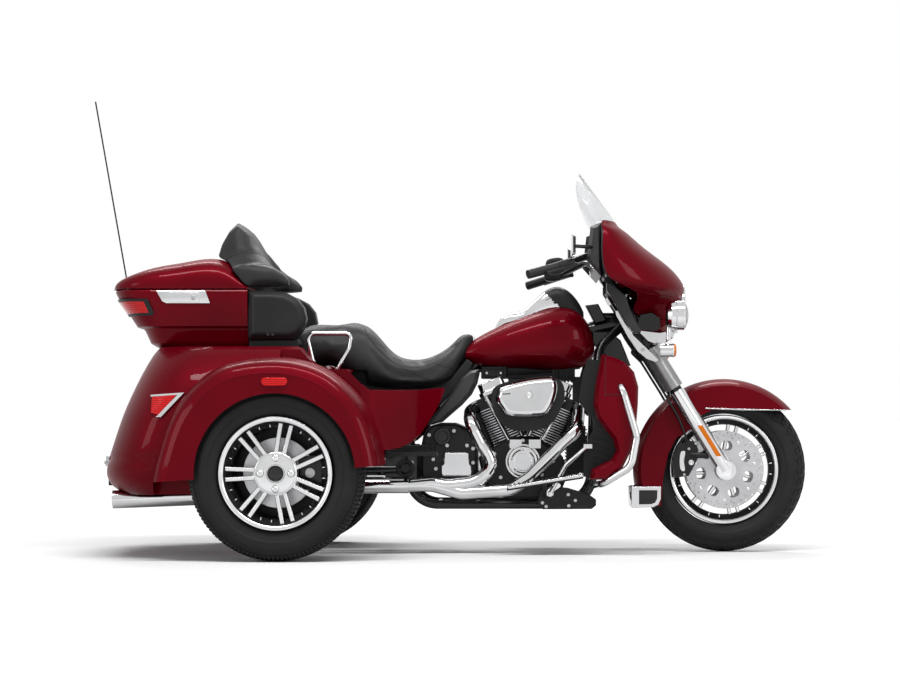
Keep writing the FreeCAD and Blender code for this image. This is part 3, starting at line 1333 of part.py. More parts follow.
# Front fender: a round channel over the tyre, cut to its side outline.
def channel(inset):
    """The fender's section turned round the axle, set in by a distance."""
    top = size.front_fender_radius - inset
    half = size.front_fender_half_width - inset
    shoulder = top - size.front_fender_crown
    points = [Vector(0, -half, size.front_skirt_radius), Vector(0, -half, shoulder), Vector(0, half, shoulder),
              Vector(0, half, size.front_skirt_radius)]
    roof = Part.Arc(points[1], Vector(0, 0, top), points[2]).toShape()
    edges = [Part.makeLine(points[0], points[1]), roof, Part.makeLine(points[2], points[3]),
             Part.makeLine(points[3], points[0])]
    section = Part.Face(Part.Wire(edges))
    section.translate(FRONT_AXLE)
    return section.revolve(FRONT_AXLE, Vector(0, 1, 0), 360)


fender_x = front_axle_x - size.front_fender_inner_reach
top_z = size.front_tyre_radius + size.front_fender_radius
tip_x = front_axle_x + size.front_fender_tip_reach
FRONT_SKIRT_SHARES = ((0.00, 0.00), (0.03, 0.28), (0.11, 0.54), (0.25, 0.72), (0.45, 0.75), (0.62, 0.94), (0.80, 1.00))
skirt_height = size.front_skirt_z - size.front_fender_low_z
skirt = placed(FRONT_SKIRT_SHARES, (fender_x, size.front_fender_low_z), size.front_fender_inner_reach, skirt_height)
fender_side = prism([*skirt, Vector(tip_x, 0, size.front_skirt_z), Vector(tip_x, 0, top_z + overrun),
                     Vector(front_axle_x - size.front_fender_radius - overrun, 0, top_z + overrun),
                     Vector(front_axle_x - size.front_fender_radius - overrun, 0, size.front_fender_low_z)],
                    -far, far)
leg_room = both_sides(round_bar(on_fork(0), on_fork(fork_top_z), size.slider_radius))
front_fender = channel(0).cut(channel(size.front_fender_wall)).common(fender_side)
add_piece("front_fender", [front_fender], leg_room)

# Front calipers straddle the discs behind the fork.
CALIPER_SHARES = ((0.10, 0.00), (0.60, 0.06), (0.78, 0.30), (1.00, 0.62), (0.86, 0.92), (0.62, 1.00), (0.24, 0.86),
                  (0.00, 0.50))
caliper_line = placed(CALIPER_SHARES, (front_axle_x - size.caliper_rear_reach, size.caliper_low_z),
                      size.caliper_length, size.caliper_height)
disc_y = size.disc_spacing / 2
caliper = prism(caliper_line, -size.caliper_outer_y, -size.caliper_inner_y)
disc_room = Part.makeCylinder(size.disc_radius + size.running_clearance,
                              size.disc_thickness + 2 * size.running_clearance,
                              FRONT_AXLE - Vector(0, disc_y + size.disc_thickness / 2 + size.running_clearance, 0),
                              Vector(0, 1, 0))
caliper_middle_y = (size.caliper_outer_y + size.caliper_inner_y) / 2
bracket_start = Vector(front_axle_x - size.caliper_rear_reach + size.caliper_length * 0.7,
                       -(size.caliper_outer_y + caliper_middle_y) / 2, size.caliper_low_z + size.caliper_height * 0.6)
bracket = round_bar(bracket_start, on_fork(bracket_start.z), size.lamp_bar_radius)
add_piece("front_calipers", both_sides(caliper) + both_sides(bracket),
          both_sides(disc_room) + both_sides(slider) + both_sides(leg))

# Brake lines leave the low clamp and run down behind the fork legs to the calipers.
# Height from the caliper up, how far behind the leg, how far out from the caliper to the leg.
LINE_SHARES = ((0.86, 1.00, 1.00), (0.55, 1.00, 1.00), (0.28, 1.10, 1.00), (0.10, 1.40, 0.30))
plate_back = clamp_plate(low_z).Placement.Rotation.multVec(Vector(-size.clamp_depth / 2, 0, 0))
plate_centre = clamp_plate(low_z).Placement.Base
line_top = plate_centre + plate_back * 0.9 - Vector(0, size.fork_half_spacing, 0)
line_foot = Vector(front_axle_x - size.caliper_rear_reach + size.caliper_length * 0.5,
                   size.brake_line_radius - size.caliper_outer_y, size.caliper_low_z + size.caliper_height * 0.8)
line_route = [line_top, line_top + plate_back * 0.7]
for up, behind, out in LINE_SHARES:
    line_z = line_foot.z + up * (line_top.z - line_foot.z)
    line_y = line_foot.y - out * (size.fork_half_spacing + line_foot.y)
    line_route.append(Vector(on_fork(line_z).x - behind * size.brake_line_reach, line_y, line_z))
line_route.append(line_foot)
brake_line = bent_tube(line_route, size.brake_line_radius, size.brake_line_bend)
add_piece("brake_lines", both_sides(brake_line), [clamp_plate(low_z), *both_sides(caliper), *both_sides(bracket)])

# Mirrors stand beside the fairing's rim on short stalks.
mirror_outline = [Vector(x, 0, z) for x, z in (
    (size.mirror_x, size.mirror_low_z),
    (size.mirror_x + size.mirror_depth, size.mirror_low_z + size.mirror_depth / 2),
    (size.mirror_x + size.mirror_depth, size.mirror_low_z + size.mirror_height * 0.9),
    (size.mirror_x, size.mirror_low_z + size.mirror_height),
)]
mirror_outer_y = size.mirror_inner_y + size.mirror_width
mirror = slab(mirror_outline, ((-size.mirror_inner_y, size.mirror_depth * 0.2),
                               (-size.mirror_inner_y - size.mirror_width * 0.2, 0),
                               (size.mirror_width * 0.2 - mirror_outer_y, 0),
                               (-mirror_outer_y, size.mirror_depth * 0.3)), False)
stalk_root = Vector(fairing_tail_x - size.inner_fairing_depth / 2, -rim_half + size.dash_recess / 2,
                    size.mirror_low_z + size.mirror_height / 2)
stalk_tip = Vector(size.mirror_x + size.mirror_depth / 2, -size.mirror_inner_y - size.mirror_width * 0.25,
                   size.mirror_low_z + size.mirror_height / 2)
stalk = round_bar(stalk_root, stalk_tip, size.mirror_stalk_radius)
add_piece("mirrors", both_sides(mirror) + both_sides(stalk), [inner_rim, fairing_outer])

# Engine. Each cylinder is made upright about the crank's axis and then leaned over.
fin_count = 15


def make_cylinder(label, lean, side):
    """Finned cylinder with its head, trimmed to its own side of the crank's upright plane."""
    body = new_body(label)
    barrel = add_circles(body, "XY_Plane", (("0", "0", "cylinder_bore_radius"),), "deck_height")
    add_pad(body, barrel, f"fin_pitch * {fin_count - 1} + fin_thickness", False)
    fin_outline = (
        ("-fin_radius", "-fin_radius", "0.06"), ("fin_radius", "-fin_radius", "0.06"),
        ("fin_radius", "fin_radius", "0.06"), ("-fin_radius", "fin_radius", "0.06"),
    )
    fin = add_pad(body, add_sketch(body, "XY_Plane", fin_outline, "deck_height"), "fin_thickness", False)
    stack = body.newObject("PartDesign::LinearPattern", f"{label}_fins")
    stack.Originals = [fin]
    plane = next(item for item in body.Origin.OriginFeatures if item.Role == "Z_Axis")
    stack.Direction = (plane, [""])
    stack.setExpression("Length", bound(f"fin_pitch * {fin_count - 1}"))
    stack.Occurrences = fin_count
    body.Tip = stack
    head_outline = (
        ("-head_half_width", "-head_half_width"), ("head_half_width", "-head_half_width"),
        ("head_half_width", "head_half_width"), ("-head_half_width", "head_half_width"),
    )
    head = add_sketch(body, "XY_Plane", head_outline, f"deck_height + fin_pitch * {fin_count - 1} + fin_thickness")
    add_pad(body, head, "head_height", False)
    reach = f"{side} * (4 * deck_height * tan(cylinder_angle) - cylinder_gap)"
    wedge = (
        (f"{-side} * cylinder_gap", "0"), (reach, "4 * deck_height"),
        (f"{side} * 6 * fin_radius", "4 * deck_height"), (f"{side} * 6 * fin_radius", "0"),
    )
    add_pocket(body, add_sketch(body, "XZ_Plane", wedge), "4 * fin_radius")
    body.Placement = Placement(Vector(size.crank_x, 0, size.crank_z), Rotation(Vector(0, 1, 0), lean))
    return body


make_cylinder("cylinder_rear", -size.cylinder_angle, 1)
make_cylinder("cylinder_front", size.cylinder_angle, -1)


def along_cylinder(lean, height, across=0, y=0):
    """Place on a leaned cylinder: up its axis, across it and sideways."""
    turn = Rotation(Vector(0, 1, 0), lean)
    return Vector(size.crank_x, 0, size.crank_z) + turn.multVec(Vector(across, y, height))


def leaned_block(lean, height, length, width, tall):
    """Box square to a leaned cylinder, centred on it."""
    box = Part.makeBox(length, width, tall, Vector(-length / 2, -width / 2, 0))
    uprights = [edge for edge in box.Edges if abs(edge.tangentAt(edge.FirstParameter).z) > 0.9]
    box = box.makeFillet(length * 0.2, uprights)
    box.Placement = Placement(along_cylinder(lean, height), Rotation(Vector(0, 1, 0), lean))
    return box


head_top = size.deck_height + size.fin_pitch * (fin_count - 1) + size.fin_thickness + size.head_height
leans = (-size.cylinder_angle, size.cylinder_angle)
rockers = []
for lean in leans:
    base = leaned_block(lean, head_top, size.rocker_length, size.rocker_width, size.rocker_base_height)
    rocker_top = leaned_block(lean, head_top, size.rocker_length - 2 * size.rocker_step,
                              size.rocker_width - 2 * size.rocker_step, size.rocker_height)
    rockers.append(base.fuse(rocker_top))
add_piece("rocker_covers", rockers, [tank_form])

CASE_SHARES = ((0.06, 0.30), (0.16, 0.08), (0.34, 0.00), (0.72, 0.00), (0.92, 0.12), (1.00, 0.40), (0.94, 0.68),
               (0.78, 0.86), (0.66, 1.00), (0.36, 1.00), (0.20, 0.86), (0.00, 0.66))
case_line = placed(CASE_SHARES, (size.case_rear_x, size.case_low_z), size.case_length, size.case_height)
case_half = size.case_half_width
case_edge = size.case_edge
case_form = slab(case_line, ((-case_half, case_edge), (case_edge - case_half, 0), (case_half - case_edge, 0),
                             (case_half, case_edge)), False)
doc.recompute()
cylinders = [piece.Shape for piece in pieces if piece.Label.startswith("cylinder_")]
GEARBOX_SHARES = ((0.00, 0.56), (0.05, 0.80), (0.16, 0.95), (0.34, 1.00), (0.62, 1.00), (0.84, 0.92), (1.00, 0.80),
                  (1.00, 0.00), (0.10, 0.00), (0.00, 0.14))
gearbox_line = placed(GEARBOX_SHARES, (size.gearbox_rear_x, size.gearbox_low_z), size.gearbox_length,
                      size.gearbox_height)
gearbox_form = slab(gearbox_line, ((-size.gearbox_half_width, case_edge), (case_edge - size.gearbox_half_width, 0),
                                   (size.gearbox_half_width - case_edge, 0), (size.gearbox_half_width, case_edge)),
                    False)
add_piece("crankcase", [case_form], cylinders)
add_piece("gearbox", [gearbox_form], [case_form])

# Chrome covers on the right: cam cover, tappet blocks and gearbox cover.
case_face_y = -case_half
cam_centre = Vector(size.cam_cover_x, case_face_y, size.cam_cover_z)
cam_flange = Part.makeCylinder(size.cam_cover_radius, size.cam_cover_depth / 2, cam_centre, Vector(0, -1, 0))
cam_dome = Part.makeCone(size.cam_cover_radius * 0.9, size.cam_cover_radius * 0.8, size.cam_cover_depth / 2,
                         cam_centre - Vector(0, size.cam_cover_depth / 2, 0), Vector(0, -1, 0))
cam_cover = cam_flange.fuse(cam_dome)
tappets = []
pushrods = []
for lean in leans:
    for across in (-0.5, 0.5):
        foot_point = along_cylinder(lean * 0.8, size.deck_height, across * size.tappet_length * 1.2)
        top_point = along_cylinder(lean, head_top, across * size.tappet_length * 1.6)
        pushrods.append(round_bar(Vector(foot_point.x, -size.pushrod_y, foot_point.z),
                                  Vector(top_point.x, -size.pushrod_y + size.pushrod_radius * 4, top_point.z),
                                  size.pushrod_radius))
    tappet_x = along_cylinder(lean * 0.8, size.deck_height).x
    tappet_z = size.crank_z + size.deck_height * 0.9
    tappets.append(block((tappet_x - size.tappet_length / 2, -size.pushrod_y - size.tappet_depth / 2,
                          tappet_z - size.tappet_height),
                         (tappet_x + size.tappet_length / 2, case_face_y + case_edge, tappet_z)))
GEAR_COVER_SHARES = ((0.05, 0.00), (0.95, 0.00), (1.00, 0.10), (0.98, 0.42), (0.92, 0.52), (0.90, 0.95),
                     (0.86, 1.00), (0.14, 1.00), (0.10, 0.95), (0.08, 0.52), (0.00, 0.42), (0.00, 0.10))
gear_cover_line = placed(GEAR_COVER_SHARES, (size.gear_cover_rear_x, size.gear_cover_low_z),
                         size.gear_cover_length, size.gear_cover_height)
gear_cover = slab(gear_cover_line, ((case_edge - size.gearbox_half_width, 0),
                                    (-size.gearbox_half_width - size.gear_cover_depth * 0.8, 0),
                                    (-size.gearbox_half_width - size.gear_cover_depth, case_edge * 0.4)), False)
engine_cuts = [case_form, gearbox_form, *cylinders]
add_piece("engine_covers", [cam_cover, *tappets, gear_cover], engine_cuts)
add_piece("pushrod_tubes", pushrods, [*engine_cuts, *tappets, cam_cover, *rockers])

PRIMARY_SHARES = ((0.00, 0.55), (0.04, 0.28), (0.16, 0.10), (0.40, 0.10), (0.66, 0.00), (0.86, 0.06), (0.98, 0.30),
                  (1.00, 0.60), (0.92, 0.88), (0.76, 1.00), (0.56, 0.92), (0.34, 0.90), (0.12, 0.86))
primary_line = placed(PRIMARY_SHARES, (size.primary_rear_x, size.primary_low_z), size.primary_length,
                      size.primary_height)
primary = slab(primary_line, ((case_half, 0), (case_half + size.primary_depth * 0.7, 0),
                              (case_half + size.primary_depth, size.primary_depth * 0.25)))
add_piece("primary_cover", [primary], [case_form, gearbox_form])

# Air cleaner on the right, its cover and the plate behind it.
CLEANER_SHARES = ((0.02, 0.62), (0.05, 0.72), (0.15, 0.80), (0.50, 0.94), (0.84, 1.00), (0.96, 0.97), (1.00, 0.84),
                  (0.99, 0.56), (0.88, 0.16), (0.80, 0.03), (0.70, 0.00), (0.28, 0.00), (0.17, 0.04), (0.07, 0.22),
                  (0.00, 0.40), (0.00, 0.54))
cleaner_line = placed(CLEANER_SHARES, (size.cleaner_rear_x, size.cleaner_low_z), size.cleaner_length,
                      size.cleaner_height)
cleaner_inner_y = size.cleaner_outer_y - size.cleaner_depth
cleaner = slab(cleaner_line, ((-cleaner_inner_y, 0), (-cleaner_inner_y - size.cleaner_depth * 0.6, 0),
                              (-size.cleaner_outer_y + size.cleaner_depth * 0.1, size.cleaner_depth * 0.14),
                              (-size.cleaner_outer_y, size.cleaner_depth * 0.4)))
add_piece("air_cleaner_cover", [cleaner])
BACK_SHARES = ((-0.08, 0.50), (-0.02, 0.76), (0.14, 0.88), (0.50, 0.98), (0.90, 1.02), (1.06, 0.92), (1.13, 0.60),
               (1.06, 0.20), (0.88, -0.20), (0.50, -0.35), (0.20, -0.28), (-0.02, 0.05))
back_line = placed(BACK_SHARES, (size.cleaner_rear_x, size.cleaner_low_z), size.cleaner_length, size.cleaner_height)
back_inner_y = cleaner_inner_y - size.cleaner_back_depth
back_plate = slab(back_line, ((-back_inner_y, 0), (-cleaner_inner_y, 0)))
intake_z = size.cleaner_low_z + size.cleaner_height / 2
intake = round_bar(Vector(size.crank_x, -size.top_mount_half_width, intake_z), Vector(size.crank_x, -back_inner_y, intake_z),
                   size.cylinder_bore_radius * 0.7)
add_piece("air_cleaner_back", [back_plate, intake], [*cylinders, *rockers, *pushrods])

# Exhaust: a header from each head, joined low on the right, and a muffler along each side.
# The headers' runs are shares of the case's length and height, from its rear lower corner.
REAR_HEADER_SHARES = ((-0.09, 1.24), (0.03, 0.90), (0.11, 0.73), (0.15, 0.59), (0.12, 0.45), (0.03, 0.34),
                      (-0.08, 0.27), (-0.34, 0.23))
FRONT_HEADER_SHARES = ((0.93, 0.90), (0.57, 0.36), (0.36, 0.16), (-0.19, 0.11))
lean_rear, lean_front = leans
port_height = head_top - size.head_height / 2
head_half = size.head_half_width
rear_port = along_cylinder(lean_rear, port_height, -head_half, -head_half / 2)
front_port = along_cylinder(lean_front, port_height, head_half, -head_half / 2)
pipe_y = -size.pipe_y
bend = size.header_bend


def header_run(shares):
    """Points of a header beside the engine."""
    return [point + Vector(0, pipe_y, 0) for point in
            placed(shares, (size.case_rear_x, size.case_low_z), size.case_length, size.case_height)]


rear_route = [rear_port, Vector(rear_port.x - bend * 0.35, -head_half * 1.2, rear_port.z - bend * 0.2)]
rear_route += header_run(REAR_HEADER_SHARES)
front_route = [front_port, front_port + Vector(bend * 0.3, -bend * 0.35, -bend * 0.1),
               Vector(front_port.x + bend * 0.2, pipe_y, front_port.z - bend)]
front_route += header_run(FRONT_HEADER_SHARES)
pipe_low = Vector(size.case_rear_x - size.case_length * 0.5, pipe_y, size.pipe_z)
join_point = pipe_low - Vector(bend, 0, 0)
rear_header = bent_tube(rear_route + [pipe_low + Vector(0, 0, size.header_radius * 0.4), join_point],
                        size.header_radius, bend)
front_header = bent_tube(front_route + [pipe_low, join_point], size.header_radius, bend)
front_header_room = bent_tube(front_route + [pipe_low], size.header_radius + size.running_clearance, bend)
collector_end = Vector(size.muffler_front_x, pipe_y, size.pipe_z)
collector = round_bar(join_point, collector_end, size.header_radius * 1.25)
muffler = round_bar(muffler_start, muffler_end, size.muffler_radius)
muffler_way = (muffler_end - muffler_start).normalize()
tail_bore = round_bar(muffler_end - muffler_way * size.muffler_radius * 3, muffler_end, size.muffler_radius * 0.86)
short_reach = Vector(size.header_bend * 0.3, 0, 0)
link_points = [collector_end + short_reach, collector_end - short_reach * 2,
               muffler_start + short_reach * 2, muffler_start - short_reach]
link = bent_tube(link_points, size.header_radius, size.header_bend)
cross_point = collector_end + Vector(size.header_bend, 0, 0)
cross_pipe = round_bar(cross_point, Vector(cross_point.x, -pipe_y, cross_point.z), size.header_radius * 0.9)
stub_start = cross_point + Vector(size.header_radius, 0, 0)
left_stub = mirrored(round_bar(stub_start, collector_end, size.header_radius * 1.25))
add_piece("exhaust", [rear_header, front_header, collector, *both_sides(muffler), *both_sides(link), cross_pipe,
                      left_stub], [*both_sides(tail_bore), *cylinders, case_form, gearbox_form])

# Frame: a cradle tube on each side, a backbone, the steering head and rails to the rear.
rail_y = size.rail_y
head_low = on_steering_axis(low_z + clamp)
head_high = on_steering_axis(high_z - clamp / 2)
neck = (head_low + head_high) * 0.5
cradle_points = [
    Vector(neck.x - size.head_radius * 0.5, -size.head_radius * 0.5, neck.z),
    Vector(size.rail_front_x + size.frame_tube_radius * 2, -rail_y * 0.4, neck.z - size.frame_bend),
    Vector(size.rail_front_x + size.frame_tube_radius, -rail_y, size.frame_deck_z),
    Vector(size.rail_front_x, -rail_y, size.rail_z),
    Vector(size.rail_rear_x, -rail_y, size.rail_z),
    Vector(size.rail_rear_x - size.frame_tube_radius, -rail_y, size.frame_deck_z),
    Vector(rear_axle_x - size.trunk_front_reach + skin, -rail_y, size.frame_deck_z),
]
cradle = bent_tube(cradle_points, size.frame_tube_radius, size.frame_bend)
backbone_points = [neck, Vector(size.tank_rear_x + size.frame_bend * 0.6, 0, size.backbone_z),
                   Vector(size.rail_rear_x + size.frame_bend * 1.6, 0, size.frame_deck_z),
                   Vector(size.rail_rear_x - size.frame_tube_radius, 0, size.frame_deck_z)]
backbone = bent_tube(backbone_points, size.backbone_radius, size.frame_bend)
cross_x = size.rail_rear_x - size.frame_tube_radius
cross_bars = [round_bar(Vector(x, -rail_y, z), Vector(x, rail_y, z), size.cross_bar_radius)
              for x, z in ((cross_x, size.rail_z + size.frame_bend),
                           (size.rail_front_x - size.frame_bend, size.rail_z),
                           (size.rail_rear_x + size.frame_bend, size.rail_z),
                           (trunk_front_x + skin + size.frame_tube_radius, size.frame_deck_z))]
head_tube = round_bar(head_low, head_high, size.head_radius, size.stem_radius + size.pin_clearance)
arm_start = Vector(cross_x, -rail_y, size.rear_tyre_radius)
arm_end = Vector(rear_axle_x + size.axle_tube_radius, -rail_y, size.rear_tyre_radius)
swing_arm = round_bar(arm_start, arm_end, size.frame_tube_radius * 1.3)
stem_room = round_bar(on_steering_axis(low_z - clamp), on_steering_axis(high_z + clamp),
                      size.stem_radius + size.pin_clearance)
pivot_rear_x = size.pivot_plate_rear_x
pivot_plate = block((pivot_rear_x, -rail_y - size.pivot_plate_thickness / 2, size.pivot_plate_low_z),
                    (pivot_rear_x + size.pivot_plate_length, size.pivot_plate_thickness / 2 - rail_y,
                     size.pivot_plate_low_z + size.pivot_plate_height))
top_mount = block((size.crank_x - size.top_mount_half_length, -size.top_mount_half_width,
                   size.backbone_z - size.top_mount_height),
                  (size.crank_x + size.top_mount_half_length, size.top_mount_half_width, size.backbone_z))
# The gusset fills the corner behind the steering head, and a switch box stands above it.
GUSSET_SHARES = ((0.00, 0.66), (0.00, 1.00), (0.45, 1.00), (0.74, 0.74), (1.00, 0.02), (0.62, 0.00), (0.30, 0.34))
gusset_line = placed(GUSSET_SHARES, (size.gusset_rear_x, size.gusset_low_z), size.gusset_length, size.gusset_height)
gusset_half = size.gusset_half_width
gusset = slab(gusset_line, ((-gusset_half, case_edge / 2), (case_edge / 2 - gusset_half, 0),
                            (gusset_half - case_edge / 2, 0), (gusset_half, case_edge / 2)), False)
SWITCH_BOX_SHARES = ((0.00, 0.92), (0.60, 1.00), (1.00, 0.16), (0.44, 0.00))
box_half = size.switch_box_half_width
switch_line = placed(SWITCH_BOX_SHARES, (size.switch_box_rear_x, size.switch_box_low_z), size.switch_box_length,
                     size.switch_box_height)
switch_box = slab(switch_line, ((-box_half, case_edge / 2), (case_edge / 2 - box_half, 0),
                                (box_half - case_edge / 2, 0), (box_half, case_edge / 2)), False)
switch_arm_z = size.switch_box_low_z + size.switch_box_height * 0.4
switch_arm = round_bar(Vector(size.switch_box_rear_x + size.switch_box_length / 2, 0, switch_arm_z),
                       on_steering_axis(switch_arm_z), size.cross_bar_radius)
frame_cuts = [stem_room, case_form, gearbox_form, *cylinders, *rockers, seat_form]
frame = add_piece("frame", [*both_sides(cradle), backbone, *cross_bars, head_tube, *both_sides(swing_arm),
                            *both_sides(pivot_plate), top_mount, gusset, switch_box, switch_arm], frame_cuts)

# The tank sits astride the frame.
add_piece("fuel_tank", [tank_form], [seat_form, backbone_room, frame])

# Rear axle: a tube with the drive case, spindles that carry the wheels, and the brake calipers.
rear_axle = Vector(rear_axle_x, 0, size.rear_tyre_radius)
tube_half = size.axle_half_length
spindle_half = (size.rear_track / 2 + size.rear_spoke_offset + size.rear_hub_width / 2) - size.running_clearance
tube_reach = Vector(0, tube_half, 0)
axle_tube = round_bar(rear_axle - tube_reach, rear_axle + tube_reach, size.axle_tube_radius)
spindles = round_bar(rear_axle - Vector(0, spindle_half, 0), rear_axle + Vector(0, spindle_half, 0),
                     size.spindle_radius)
drive_case = round_bar(rear_axle - Vector(0, size.drive_case_half_width, 0),
                       rear_axle + Vector(0, size.drive_case_half_width, 0), size.drive_case_radius)
rear_disc_y = size.rear_track / 2 - size.rear_disc_inset
caliper_x = rear_axle_x + size.rear_caliper_reach
rear_caliper = block((caliper_x - size.rear_caliper_length / 2, -rear_disc_y - size.rear_caliper_width / 2,
                      size.rear_tyre_radius - size.rear_caliper_height / 2),
                     (caliper_x + size.rear_caliper_length / 2, -rear_disc_y + size.rear_caliper_width / 2,
                      size.rear_tyre_radius + size.rear_caliper_height / 2))
carrier = block((rear_axle_x, size.rear_caliper_width / 2 - rear_disc_y - size.carrier_thickness,
                 size.rear_tyre_radius - size.axle_tube_radius),
                (caliper_x, size.rear_caliper_width / 2 - rear_disc_y, size.rear_tyre_radius + size.axle_tube_radius))
rear_disc_room = Part.makeCylinder(
    size.rear_disc_radius + size.running_clearance, size.disc_thickness + 2 * size.running_clearance,
    rear_axle - Vector(0, rear_disc_y + size.disc_thickness / 2 + size.running_clearance, 0), Vector(0, 1, 0))
disc_cut = rear_disc_room.cut(Part.makeCylinder(size.spindle_radius, far, rear_axle, ACROSS))
add_piece("rear_axle", [axle_tube, spindles, drive_case, *both_sides(rear_caliper), *both_sides(carrier)],
          [*both_sides(disc_cut), *both_sides(swing_arm)])

# Engine guard, one bent tube on each side, from the cradle's foot to its top.
guard_points = [
    Vector(size.rail_front_x + size.frame_tube_radius * 0.5, -rail_y, size.guard_foot_z),
    Vector(size.guard_foot_x + size.guard_bend * 1.6, -size.guard_outer_y * 0.86, size.guard_foot_z + size.guard_radius),
    Vector(size.guard_front_x - size.guard_radius * 1.5, -size.guard_outer_y, size.guard_foot_z + size.guard_bend * 1.3),
    Vector(size.guard_front_x, -size.guard_outer_y, size.guard_foot_z + size.guard_bend * 3.2),
    Vector(size.guard_top_x, -size.guard_outer_y * 0.96, size.guard_top_z),
    Vector(size.guard_top_x - size.guard_bend * 0.5, -size.guard_outer_y * 0.5, size.guard_top_z + size.guard_radius),
    Vector(size.rail_front_x + size.frame_tube_radius * 2.6, -rail_y * 0.75, size.guard_top_z + size.guard_radius),
]
guard = bent_tube(guard_points, size.guard_radius, size.guard_bend)
guard_room = bent_tube(guard_points, size.guard_radius + size.seat_clearance, size.guard_bend)
add_piece("engine_guard", both_sides(guard), both_sides(cradle))

# Lower fairings in front of the rider's legs, with their liners.
LOWER_SHARES = (
    (0.25, 1.00), (0.48, 0.98), (0.72, 0.94), (0.91, 0.86), (1.00, 0.74), (0.99, 0.60), (0.95, 0.42), (0.86, 0.24),
    (0.67, 0.09), (0.31, 0.00), (0.00, 0.00), (0.04, 0.08), (0.44, 0.16), (0.54, 0.23), (0.48, 0.32), (0.30, 0.41),
    (0.14, 0.50), (0.08, 0.60), (0.12, 0.76), (0.20, 0.91),
)
lower_line = placed(LOWER_SHARES, (size.lower_rear_x, size.lower_low_z), size.lower_length, size.lower_height)
lower_round = size.lower_round
lower = slab(lower_line, ((-size.lower_inner_y, 0), (lower_round * 2 - size.lower_outer_y, 0),
                          (lower_round * 0.5 - size.lower_outer_y, lower_round * 0.15),
                          (-size.lower_outer_y, lower_round * 0.5)), False)
add_piece("lower_fairings", both_sides(lower), both_sides(guard_room))
LINER_SHARES = ((-0.04, 0.97), (0.66, 0.93), (0.79, 0.76), (0.82, 0.45), (0.50, 0.38), (0.28, 0.45), (0.00, 0.51),
                (-0.22, 0.63), (-0.14, 0.83))
liner_line = placed(LINER_SHARES, (size.lower_rear_x, size.lower_low_z), size.lower_length, size.lower_height)
liner = prism(liner_line, -size.lower_inner_y, -size.liner_inner_y)
liner_cuts = [*both_sides(guard_room), *both_sides(front_header_room), *both_sides(cradle), tank_form]
add_piece("lower_liners", both_sides(liner), liner_cuts)

# Footboards and foot controls.
board_rear_x = size.board_front_x - size.board_length
board_line = [Vector(x, 0, z) for x, z in (
    (board_rear_x, size.board_front_z - size.board_rise), (size.board_front_x, size.board_front_z),
    (size.board_front_x, size.board_front_z - size.board_thickness),
    (board_rear_x, size.board_front_z - size.board_rise - size.board_thickness))]
board_outer_y = size.board_inner_y + size.board_width
board = prism(board_line, -board_outer_y, -size.board_inner_y)
board_x = (board_rear_x + size.board_front_x) / 2
board_arm_z = size.board_front_z - (size.board_rise + size.board_thickness) / 2
board_arm = round_bar(Vector(board_x, -rail_y, size.rail_z),
                      Vector(board_x, -size.board_inner_y - size.board_width * 0.4, board_arm_z),
                      size.pedal_arm_radius)
rear_board = block((size.rear_board_x, -size.rear_board_inner_y - size.rear_board_width, size.rear_board_z),
                   (size.rear_board_x + size.rear_board_length, -size.rear_board_inner_y,
                    size.rear_board_z + size.board_thickness))
rear_arm = round_bar(Vector(cross_x, -rail_y, size.rear_board_z),
                     Vector(cross_x, -size.rear_board_inner_y - size.board_thickness, size.rear_board_z),
                     size.pedal_arm_radius)
boards = both_sides(board) + both_sides(board_arm) + both_sides(rear_board) + both_sides(rear_arm)
add_piece("footboards", boards, [*both_sides(cradle), *both_sides(pivot_plate)])
pedal_y = size.board_inner_y - size.pedal_arm_radius * 2
pedal_points = [Vector(board_x + size.board_width * 0.2, -pedal_y, size.board_front_z - size.board_rise * 1.6),
                Vector((board_x + size.pedal_x) / 2, -pedal_y, size.board_front_z + size.board_thickness * 2),
                Vector(size.pedal_x, -pedal_y - size.pedal_width * 0.4, size.pedal_z)]
pedal_arm = bent_tube(pedal_points, size.pedal_arm_radius, size.board_thickness * 2)
pedal_pad = block((size.pedal_x - size.board_thickness, -pedal_y - size.pedal_width,
                   size.pedal_z - size.board_thickness / 2),
                  (size.pedal_x + size.board_thickness, -pedal_y, size.pedal_z + size.board_thickness / 2))
shaft_end = Vector(pedal_points[0].x, -rail_y, pedal_points[0].z)
pedal_shaft = round_bar(pedal_points[0], shaft_end, size.pedal_arm_radius)
pedal_post = round_bar(shaft_end, Vector(pedal_points[0].x, -rail_y, size.rail_z), size.pedal_arm_radius)
add_piece("foot_controls", [*both_sides(pedal_arm), *both_sides(pedal_pad), *both_sides(pedal_shaft),
                            *both_sides(pedal_post)],
          [*both_sides(cradle), *both_sides(board_arm), case_form])

# Handrails beside the passenger stand on the body's deck.
rail_x = size.handrail_rear_x
HANDRAIL_SHARES = ((0.16, 0.00), (0.00, 0.86), (0.10, 1.00), (1.00, 1.00), (0.94, 0.60), (0.66, 0.00))
handrail_points = [Vector(rail_x + along * size.handrail_length, -size.handrail_y,
                          size.seat_deck_z + up * (size.handrail_top_z - size.seat_deck_z))
                   for along, up in HANDRAIL_SHARES]
handrail = bent_tube(handrail_points, size.handrail_radius, size.handrail_bend)
add_piece("handrails", both_sides(handrail), [block((-far, -far, 0), (0, far, size.seat_deck_z))])

